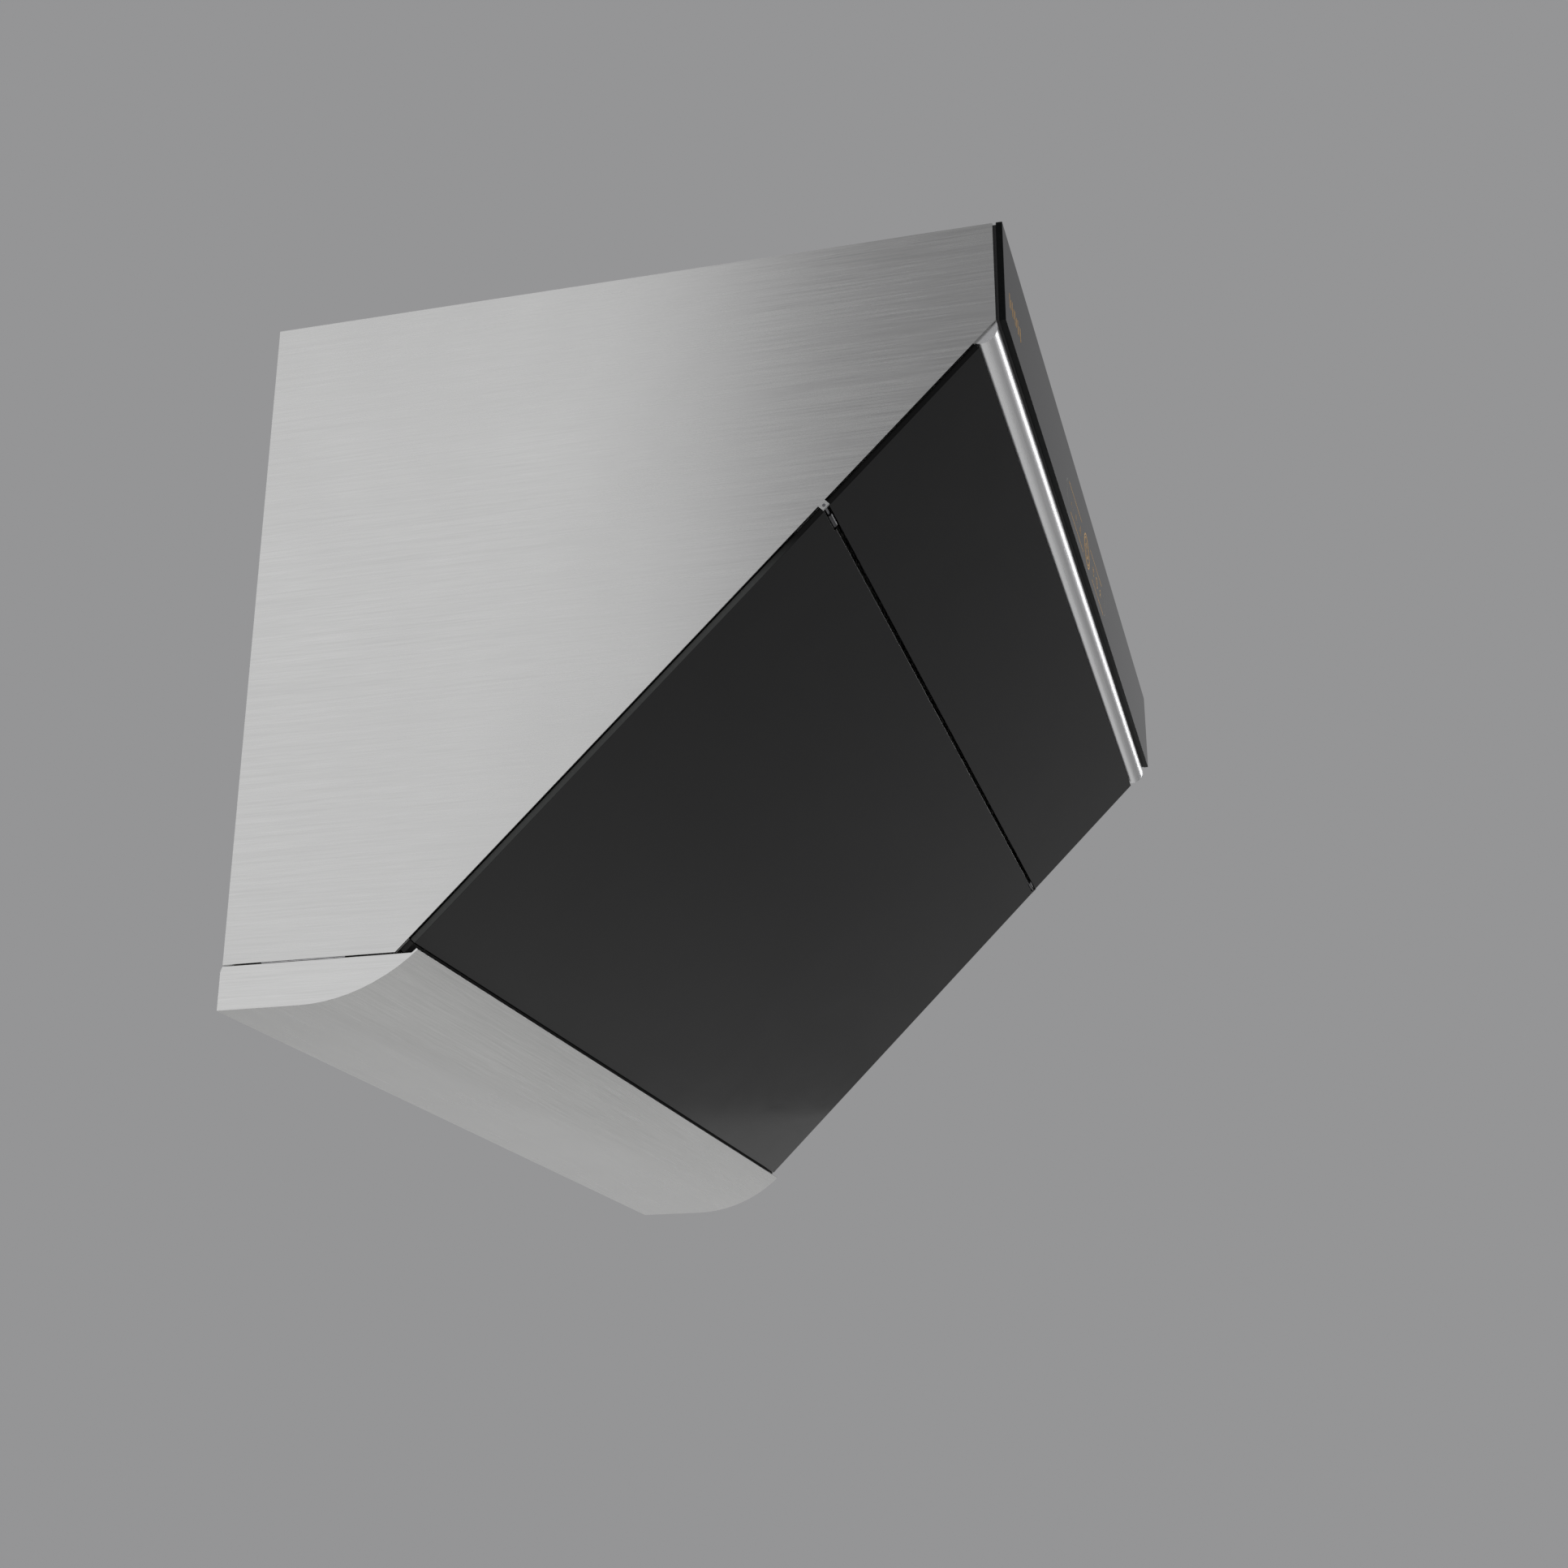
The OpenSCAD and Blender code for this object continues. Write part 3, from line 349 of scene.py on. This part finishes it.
def motor_paint(name, band_start, band_end):
    """Cast end shields in grey enamel, with the bare stack of laminations between them."""
    f = Finish(name, roughness=0.45, metallic=0.0)
    place = f.along("Y")
    margin = 0.2 * MM
    in_band = f.math(
        "MULTIPLY",
        f.ramp(place, 0, 1, band_end - margin, band_end + margin),
        f.ramp(place, 1, 0, band_start - margin, band_start + margin),
    )
    sheets = f.waves((0, 620, 0), "Y")
    peel = f.noise(420, detail=3)
    enamel = f.mix(peel, (0.085, 0.095, 0.105), (0.125, 0.135, 0.145))
    stack = f.mix(sheets, (0.060, 0.055, 0.050), (0.300, 0.285, 0.265))
    f.colour(f.mix(in_band, enamel, stack))
    f.link(in_band, f.shader.inputs["Metallic"])
    f.roughness(f.ramp(peel, 0.36, 0.56, 0.3, 0.7))
    f.bump(peel, 0.20, 0.03 * MM)
    f.bump(f.math("MULTIPLY", sheets, in_band), 0.5, 0.10 * MM)
    return f.material


def gold_ink(name):
    f = Finish(name, roughness=0.34, metallic=0.15)
    grains = f.noise(3800, detail=2)
    f.colour(f.mix(grains, (0.74, 0.38, 0.050), (0.90, 0.50, 0.085)))
    f.roughness(f.ramp(grains, 0.28, 0.44, 0.3, 0.7))
    f.bump(grains, 0.20, 0.01 * MM)
    return f.material


def white_ink(name):
    f = Finish(name, roughness=0.40)
    grains = f.noise(3800, detail=2)
    f.colour(f.mix(grains, (0.30, 0.29, 0.26), (0.44, 0.42, 0.37)))
    f.roughness(f.ramp(grains, 0.34, 0.50, 0.3, 0.7))
    f.bump(grains, 0.15, 0.01 * MM)
    return f.material


def floor_paint(name):
    """Plain pale studio floor."""
    f = Finish(name, roughness=0.75)
    mottle = f.noise(1.6, detail=4)
    fleck = f.noise(180, detail=2)
    f.colour(f.mix(mottle, (0.70, 0.70, 0.69), (0.76, 0.76, 0.75)))
    f.roughness(f.ramp(fleck, 0.65, 0.85, 0.3, 0.7))
    return f.material


FAN_PLATE_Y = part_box("fan_rear_plate")[1].y
STEEL_Y = brushed_steel("steel_brushed_along_y", "Y")
STEEL_X = brushed_steel("steel_brushed_along_x", "X", colour=(0.63, 0.63, 0.625), end_grain="Y")
INNER_STEEL = brushed_steel("inner_steel", "X", colour=(0.50, 0.50, 0.49), rough=(0.34, 0.50))
TRIM = polished_trim("trim_metal")
CONTROL_GLASS = black_glass("control_glass_black", "Y")
GLASS_EDGE = (0.085, 0.088, 0.086)
# Painted shade: a near-black side edge colour that stands in for the shadow in the gap between the side
# panels and the upper glass.
PAINTED_SHADE_EDGE = (0.003, 0.003, 0.003)
SLOT_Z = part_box("upper_glass")[0].z
# The lower glass's side edges keep the pale ground colour low down and turn to painted shade near the upper
# glass; the upper glass's side edges are painted shade all along.
LOWER_GLASS = slope_glass("lower_glass_black", GLASS_EDGE, PAINTED_SHADE_EDGE, SLOT_Z - PAINTED_SHADE_DROP)
UPPER_GLASS = slope_glass("upper_glass_black", PAINTED_SHADE_EDGE, PAINTED_SHADE_EDGE, SLOT_Z)
ZINC = galvanised("galvanised_sheet")
ZINC_SMALL = galvanised("galvanised_fan", colour=(0.50, 0.52, 0.54), size=150)
FILTER_METAL = brushed_steel("filter_metal", "Z", colour=(0.66, 0.66, 0.66), rough=(0.26, 0.38))
SCREW_METAL = plated("screw_plating", (0.58, 0.58, 0.60))
SPRING_METAL = plated("spring_steel", (0.42, 0.42, 0.44), rough=(0.22, 0.34))
PIN_METAL = plated("dark_pin", (0.20, 0.20, 0.21), rough=(0.24, 0.36))
HINGE_METAL = plated("black_zinc", (0.085, 0.085, 0.090), rough=(0.30, 0.46))
BRASS = plated("brass", (0.72, 0.50, 0.20))
MAGNET = moulded("ferrite", (0.035, 0.034, 0.034), rough=(0.50, 0.68), grain=1500)
BLACK_PLASTIC = moulded("black_plastic", (0.018, 0.018, 0.019))
GREY_PLASTIC = moulded("grey_plastic", (0.16, 0.165, 0.17))
WHITE_PLASTIC = moulded("white_plastic", (0.62, 0.61, 0.57), rough=(0.38, 0.54))
SPACER_FOAM = moulded("spacer_foam", (0.030, 0.030, 0.031), rough=(0.75, 0.9), grain=900, relief=0.5)
RUBBER = rubber("black_rubber")
IMPELLER_COAT = galvanised("impeller_coat", colour=(0.30, 0.31, 0.32), size=210, rough=(0.36, 0.5))
MOTOR = motor_paint("motor_enamel", FAN_PLATE_Y - STACK_START, FAN_PLATE_Y - STACK_END)
CONTROL_BOARD_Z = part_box("control_board")[1].z - CONTROL_BOARD_DEPTH
CONTROL_BOARD = circuit_board("control_board_green", "Z", CONTROL_BOARD_Z, False)
TOUCH_BOARD_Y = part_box("glass_spacer")[1].y + TOUCH_BOARD_STEP
TOUCH_BOARD = circuit_board("touch_board_green", "Y", TOUCH_BOARD_Y, True)
GOLD = gold_ink("gold_ink")
PALE_INK = white_ink("pale_ink")

NODE_FINISH = {
    "side_left": STEEL_Y,
    "side_right": STEEL_Y,
    "top_panel": STEEL_X,
    "back_panel": ZINC,
    "floor_panel": INNER_STEEL,
    "upper_backing": INNER_STEEL,
    "suction_frame": INNER_STEEL,
    "seal_strip": RUBBER,
    "control_glass": CONTROL_GLASS,
    "glass_spacer": SPACER_FOAM,
    "touch_board": TOUCH_BOARD,
    "front_trim": TRIM,
    "trim_cap_left": TRIM,
    "trim_cap_right": TRIM,
    "upper_glass": UPPER_GLASS,
    "lower_glass": LOWER_GLASS,
    "panel_frame": INNER_STEEL,
    "hinge_leaf_left": HINGE_METAL,
    "hinge_leaf_right": HINGE_METAL,
    "hinge_pin_left": PIN_METAL,
    "hinge_pin_right": PIN_METAL,
    "strike_plates": SPRING_METAL,
    "catch_magnets": MAGNET,
    "grease_filter": FILTER_METAL,
    "filter_clips": SPRING_METAL,
    "fan_scroll": ZINC_SMALL,
    "fan_rear_plate": ZINC_SMALL,
    "fan_front_plate": ZINC_SMALL,
    "inlet_ring": ZINC_SMALL,
    "fan_posts": RUBBER,
    "fan_screws": SCREW_METAL,
    "impeller": IMPELLER_COAT,
    "impeller_nut": BRASS,
    "motor_shaft": SPRING_METAL,
    "motor": MOTOR,
    "motor_mount": ZINC_SMALL,
    "motor_bushes": RUBBER,
    "motor_screws": SCREW_METAL,
    "capacitor": WHITE_PLASTIC,
    "capacitor_clip": SPRING_METAL,
    "control_box": WHITE_PLASTIC,
    "control_board": CONTROL_BOARD,
    "control_box_cover": WHITE_PLASTIC,
    "outlet_collar": BLACK_PLASTIC,
    "flap_left": GREY_PLASTIC,
    "flap_right": GREY_PLASTIC,
    "flap_pins": SPRING_METAL,
    "collar_screws": SCREW_METAL,
    "cable_gland": BLACK_PLASTIC,
    "gland_nut": BLACK_PLASTIC,
    "wall_bracket": ZINC,
    "hang_rail": ZINC,
    "rail_screws": SCREW_METAL,
    "oil_tray": STEEL_X,
    "tray_hanger_left": SCREW_METAL,
    "tray_hanger_right": SCREW_METAL,
    "hanger_screws": SCREW_METAL,
}


def finish_nodes():
    for name, node in NODES.items():
        node.data.materials.clear()
        node.data.materials.append(NODE_FINISH[name])


def round_edges(names, width, segments=2, angle=35):
    """A small edge radius on sheet and glass, so that edges catch the light.

    It is a modifier: the vertices stay, and only the stored normals go, because the bevel makes its own.
    """
    for name in names:
        node = NODES[name]
        stored = node.data.attributes.get("custom_normal")
        if stored:
            node.data.attributes.remove(stored)
        for face in node.data.polygons:
            face.use_smooth = True
        weld = node.modifiers.new("weld", "WELD")
        weld.merge_threshold = WELD_DISTANCE
        bevel = node.modifiers.new("edge", "BEVEL")
        bevel.width = width
        bevel.segments = segments
        bevel.limit_method = "ANGLE"
        bevel.angle_limit = math.radians(angle)
        bevel.use_clamp_overlap = True
        bevel.harden_normals = True


# ---- Mesh helpers -------------------------------------------------------------------------------


def add_piece(name, mesh, body, material, smooth_angle=None):
    """Links a mesh as a piece that rides on a body."""
    piece = bpy.data.objects.new(name, mesh)
    bpy.context.scene.collection.objects.link(piece)
    mesh.materials.append(material)
    if smooth_angle is not None:
        for face in mesh.polygons:
            face.use_smooth = True
        mesh.set_sharp_from_angle(angle=math.radians(smooth_angle))
    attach(piece, body)
    return piece


def islands(node_name):
    """The lowest and highest corner of each separate solid of a CAD node."""
    mesh = NODES[node_name].data
    bm = bmesh.new()
    bm.from_mesh(mesh)
    bmesh.ops.remove_doubles(bm, verts=bm.verts, dist=WELD_DISTANCE)
    found, seen = [], set()
    for start in bm.verts:
        if start in seen:
            continue
        group, stack = [], [start]
        seen.add(start)
        while stack:
            vert = stack.pop()
            group.append(vert.co.copy())
            for edge in vert.link_edges:
                other = edge.other_vert(vert)
                if other not in seen:
                    seen.add(other)
                    stack.append(other)
        low = Vector([min(p[i] for p in group) for i in range(3)])
        high = Vector([max(p[i] for p in group) for i in range(3)])
        found.append((low, high))
    bm.free()
    return found


def ring(bm, radius, height, count=24):
    return [
        bm.verts.new((radius * math.cos(a), radius * math.sin(a), height))
        for a in (2 * math.pi * i / count for i in range(count))
    ]


def bridge(bm, lower, upper):
    count = len(lower)
    for i in range(count):
        bm.faces.new((lower[i], lower[(i + 1) % count], upper[(i + 1) % count], upper[i]))


def cross_outline(arm, half_width):
    """Twelve corners of a cross, anticlockwise."""
    quarter = [(arm, -half_width), (arm, half_width), (half_width, half_width)]
    return [
        (x * math.cos(a) - y * math.sin(a), x * math.sin(a) + y * math.cos(a))
        for a in (math.radians(90 * k) for k in range(4))
        for x, y in quarter
    ]


def pan_head(bm, shank_r, head_r, base, head_top, shank_end):
    """A pan-head screw along +Z with a cross recess and a grooved shank, from shank_end up to head_top."""
    height = head_top - base
    flat_r = head_r * 0.62
    crown = [
        (head_r, base),
        (head_r, base + height * 0.45),
        (head_r * 0.93, base + height * 0.78),
        (head_r * 0.80, base + height * 0.95),
        (flat_r, head_top),
    ]
    pitch = shank_r * 0.5
    threads = max(1, int((base - shank_end) / pitch))
    shank = [(shank_r * 0.80, shank_end)]
    for k in range(threads):
        z = shank_end + (base - shank_end) * k / threads
        step = (base - shank_end) / threads
        shank += [(shank_r, z + step * 0.35), (shank_r, z + step * 0.60), (shank_r * 0.86, z + step * 0.98)]
    rings = [ring(bm, r, z) for r, z in shank + [(shank_r, base)] + crown]
    for lower, upper in zip(rings, rings[1:]):
        bridge(bm, lower, upper)
    bm.faces.new(list(reversed(rings[0])))
    depth = height * 0.55
    outline = cross_outline(flat_r * 0.80, flat_r * 0.17)
    rim = [bm.verts.new((x, y, head_top)) for x, y in outline]
    pit = [bm.verts.new((x * 0.86, y * 0.86, head_top - depth)) for x, y in outline]
    bridge(bm, pit, rim)
    centre = bm.verts.new((0, 0, head_top - depth))
    for i in range(12):
        bm.faces.new((pit[i], pit[(i + 1) % 12], centre))
    edges = [bm.edges.get((a[i], a[(i + 1) % len(a)])) for a in (rings[-1], rim) for i in range(len(a))]
    bmesh.ops.triangle_fill(bm, use_beauty=True, edges=edges)


def screws(node_name, axis, sign, shank_r, head_h):
    """Replaces a CAD node of plain screws with pan-head ones; heads point along sign times axis."""
    index = "XYZ".index(axis)
    others = [i for i in range(3) if i != index]
    merged = bmesh.new()
    for low, high in islands(node_name):
        head_r = (high[others[0]] - low[others[0]]) / 2
        centre = (low + high) / 2
        length = high[index] - low[index]
        bm = bmesh.new()
        pan_head(bm, shank_r, head_r, length - head_h, length, 0.0)
        bmesh.ops.recalc_face_normals(bm, faces=bm.faces)
        direction = Vector([sign if i == index else 0 for i in range(3)])
        turn = direction.to_track_quat("Z", "Y")
        foot = centre.copy()
        foot[index] = low[index] if sign > 0 else high[index]
        for vert in bm.verts:
            vert.co = foot + turn @ vert.co
        part = bpy.data.meshes.new("part")
        bm.to_mesh(part)
        bm.free()
        merged.from_mesh(part)
        bpy.data.meshes.remove(part)
    mesh = bpy.data.meshes.new(node_name + "_pan")
    merged.to_mesh(mesh)
    merged.free()
    piece = add_piece(node_name + "_pan", mesh, "housing", SCREW_METAL, 35)
    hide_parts(node_name)


# Node, axis, side the heads look to, shank radius and head height.
SCREW_SETS = (
    ("fan_screws", "Y", -1, 1.5 * MM, 2.0 * MM),
    ("motor_screws", "Y", -1, 2.0 * MM, 1.8 * MM),
    ("collar_screws", "Z", 1, 2.0 * MM, 1.8 * MM),
    ("hanger_screws", "Z", 1, 1.5 * MM, 1.5 * MM),
    ("rail_screws", "Y", 1, 2.0 * MM, 1.8 * MM),
)


# ---- Graphics on the control glass --------------------------------------------------------------


def offset_line(points, width, closed):
    """Left and right border points of a line, mitred at its corners."""
    count = len(points)
    left, right = [], []
    for i, point in enumerate(points):
        before = points[i - 1] if closed or i > 0 else None
        after = points[(i + 1) % count] if closed or i < count - 1 else None
        normals = []
        for a, b in ((before, point), (point, after)):
            if a is None or b is None:
                continue
            d = Vector((b[0] - a[0], b[1] - a[1])).normalized()
            normals.append(Vector((-d.y, d.x)))
        normal = sum(normals, Vector((0, 0))).normalized()
        reach = width / 2 / max(0.4, normal.dot(normals[0]))
        left.append((point[0] + normal.x * reach, point[1] + normal.y * reach))
        right.append((point[0] - normal.x * reach, point[1] - normal.y * reach))
    return left, right


def raised_lines(name, lines, front, thickness, material):
    """Printed lines on the glass: each a list of (x, z) points with a width and whether it closes."""
    bm = bmesh.new()
    for points, width, closed in lines:
        left, right = offset_line(points, width, closed)
        rows = []
        for (lx, lz), (rx, rz) in zip(left, right):
            rows.append([
                bm.verts.new((lx, front, lz)),
                bm.verts.new((lx, front - thickness, lz)),
                bm.verts.new((rx, front - thickness, rz)),
                bm.verts.new((rx, front, rz)),
            ])
        pairs = list(zip(rows, rows[1:])) + ([(rows[-1], rows[0])] if closed else [])
        for a, b in pairs:
            for k in range(4):
                bm.faces.new((a[k], a[(k + 1) % 4], b[(k + 1) % 4], b[k]))
        if not closed:
            bm.faces.new(list(reversed(rows[0])))
            bm.faces.new(rows[-1])
    bmesh.ops.recalc_face_normals(bm, faces=bm.faces)
    mesh = bpy.data.meshes.new(name)
    bm.to_mesh(mesh)
    bm.free()
    add_piece(name, mesh, "housing", material)


def arc(cx, cz, radius, start, end, steps=24):
    return [
        (cx + radius * math.cos(math.radians(a)), cz + radius * math.sin(math.radians(a)))
        for a in (start + (end - start) * i / steps for i in range(steps + 1))
    ]


def full_circle(cx, cz, radius, steps=48):
    return arc(cx, cz, radius, 0, 360, steps)[:-1]


def icon_speed(cx, cz, r, bars):
    """Bars of rising height."""
    lines = []
    for k in range(3):
        x = cx + (k - 1) * r * 0.75
        top = -r * 0.7 + r * 0.55 * (k + 1) if k < bars else -r * 0.7 + r * 0.12
        lines.append([(x, cz - r * 0.75), (x, cz + top)])
    return lines


def icon_lamp(cx, cz, r):
    """A bulb with three rays."""
    lines = [arc(cx, cz, r * 0.5, -50, 230)]
    lines.append([(cx - r * 0.3, cz - r * 0.62), (cx + r * 0.3, cz - r * 0.62)])
    for a in (30, 90, 150):
        dx, dz = math.cos(math.radians(a)), math.sin(math.radians(a))
        lines.append([(cx + dx * r * 0.72, cz + dz * r * 0.72), (cx + dx * r, cz + dz * r)])
    return lines


def icon_timer(cx, cz, r):
    """A clock face with two hands."""
    return [arc(cx, cz, r * 0.85, 0, 352), [(cx, cz + r * 0.5), (cx, cz), (cx + r * 0.4, cz - r * 0.2)]]


def icon_chevrons(cx, cz, r):
    """Two arrowheads that point up."""
    lines = []
    for k in (-0.35, 0.35):
        z = cz + k * r
        foot = z - r * 0.3
        lines.append([(cx - r * 0.6, foot), (cx, z + r * 0.3), (cx + r * 0.6, foot)])
    return lines


def control_graphics():
    """A generic touch panel: a ring with a power mark, a pair of rules each side, and small symbols."""
    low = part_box("control_glass")[0]
    front = low.y + 0.01 * MM
    ink = 0.05 * MM
    cx = -21 * MM
    cz = low.z + 20.6 * MM
    thin, bold = 0.70 * MM, 1.1 * MM
    lines = [(full_circle(cx, cz, 12.0 * MM), bold, True), (full_circle(cx, cz, 9.8 * MM), thin, True)]
    lines.append((arc(cx, cz, 5.2 * MM, 120, 420), bold, False))
    lines.append(([(cx, cz + 2.2 * MM), (cx, cz + 7.0 * MM)], bold, False))
    for side in (-1, 1):
        near, far = 22 * MM, 82 * MM
        for dz in (-11.0 * MM, 11.0 * MM):
            lines.append(([(cx + side * near, cz + dz), (cx + side * far, cz + dz)], thin, False))
    size = 4.4 * MM
    left = [icon_speed(cx - 72 * MM, cz, size, 1), icon_speed(cx - 53 * MM, cz, size, 2),
            icon_speed(cx - 34 * MM, cz, size, 3)]
    right = [icon_lamp(cx + 34 * MM, cz, size), icon_timer(cx + 52 * MM, cz, size),
             icon_chevrons(cx + 70 * MM, cz, size)]
    for icon in left + right:
        lines += [(line, thin, False) for line in icon]
    raised_lines("control_symbols", lines, front, ink, GOLD)
    ends = []
    for side in (-1, 1):
        x = cx + side * 94 * MM
        ends.append(([(x - side * 2.5 * MM, cz + 8 * MM), (x, cz + 5 * MM), (x, cz - 5 * MM),
                      (x - side * 2.5 * MM, cz - 8 * MM)], thin, False))
    raised_lines("control_brackets", ends, front, ink, PALE_INK)
    bars = []
    for k in range(9):
        x = -337 * MM + k * 4.6 * MM
        half = (3.2 if k % 2 else 4.6) * MM
        bars.append(([(x, cz + 1.0 * MM - half), (x, cz + 1.0 * MM + half)], 1.3 * MM, False))
    raised_lines("corner_mark", bars, front, ink, GOLD)


# ---- Stage, lights and camera -------------------------------------------------------------------


def aim(obj, target):
    """Turns a light or camera to look at a point."""
    obj.rotation_euler = (Vector(target) - obj.location).to_track_quat("-Z", "Y").to_euler()


def soft_box(name, location, target, width, height, power):
    """A rectangular area light of power watts."""
    light = bpy.data.lights.new(name, "AREA")
    light.shape = "RECTANGLE"
    light.size = width
    light.size_y = height
    light.energy = power
    obj = bpy.data.objects.new(name, light)
    bpy.context.scene.collection.objects.link(obj)
    obj.location = location
    obj.visible_camera = False
    aim(obj, target)


FLOOR_HALF_WIDTH = 40
FLOOR_Z = -1.6


def build_stage():
    """A plain pale floor far under the hood."""
    mesh = bpy.data.meshes.new("studio_floor")
    s = FLOOR_HALF_WIDTH
    corners = [(x, y, FLOOR_Z) for x, y in ((-s, -s), (s, -s), (s, s), (-s, s))]
    mesh.from_pydata(corners, [], [(0, 1, 2, 3)])
    floor = bpy.data.objects.new("studio_floor", mesh)
    bpy.context.scene.collection.objects.link(floor)
    mesh.materials.append(floor_paint("studio_floor_paint"))


def light_scene():
    """Soft boxes round the hood, and an even pale surround."""
    world = bpy.data.worlds.new("studio")
    bpy.context.scene.world = world
    world.use_nodes = True
    background = world.node_tree.nodes["Background"]
    background.inputs["Color"].default_value = (0.30, 0.30, 0.305, 1)
    background.inputs["Strength"].default_value = 1.0
    middle = (CAD_BOX[0] + CAD_BOX[1]) / 2
    key = Vector((-2.6, 1.60, 0.95))
    soft_box("key", key, key + Vector((1, 0, 0)), 2.5, 2.5, 13.2)
    top = middle + Vector((0.2, -0.8, 2.6))
    soft_box("top", top, middle, 2.4, 2.4, 45)
    strip = Vector((2.2, -1.33, 0.43))
    soft_box("strip", strip, (strip.x, -0.43, -0.02), 2.8, 0.24, 8.5)
    low = Vector((3.2, 0.72, -0.65))
    soft_box("low", low, low - Vector((1, 0, 0)), 2.95, 1.7, 4.1)
    back = middle + Vector((1.2, 2.6, 1.0))
    soft_box("back", back, middle, 2.0, 2.0, 35)


CAMERA_AZIMUTH = -75.0
CAMERA_ELEVATION = -20.0
CAMERA_DISTANCE = 1.4928
CAMERA_TARGET = Vector((0, -0.2172, -0.1188))


def place_camera():
    """A 50 mm lens below the hood's left side."""
    data = bpy.data.cameras.new("camera")
    data.lens = 50
    data.sensor_width = 36
    data.clip_start = 0.01
    data.clip_end = 200
    camera = bpy.data.objects.new("camera", data)
    bpy.context.scene.collection.objects.link(camera)
    azimuth, elevation = math.radians(CAMERA_AZIMUTH), math.radians(CAMERA_ELEVATION)
    flat = math.cos(elevation)
    back = Vector((math.sin(azimuth) * flat, -math.cos(azimuth) * flat, math.sin(elevation)))
    camera.location = CAMERA_TARGET + back * CAMERA_DISTANCE
    aim(camera, CAMERA_TARGET)
    bpy.context.scene.camera = camera


# ---- The model ----------------------------------------------------------------------------------

bpy.context.scene.view_settings.view_transform = "Standard"
place_camera()
finish_nodes()
glass_and_sides = ["side_left", "side_right", "control_glass", "upper_glass", "lower_glass"]
round_edges(glass_and_sides, GLASS_AND_SIDE_EDGE)
round_edges(["oil_tray"], TRAY_EDGE)
for screw_set in SCREW_SETS:
    screws(*screw_set)
control_graphics()
build_stage()
light_scene()
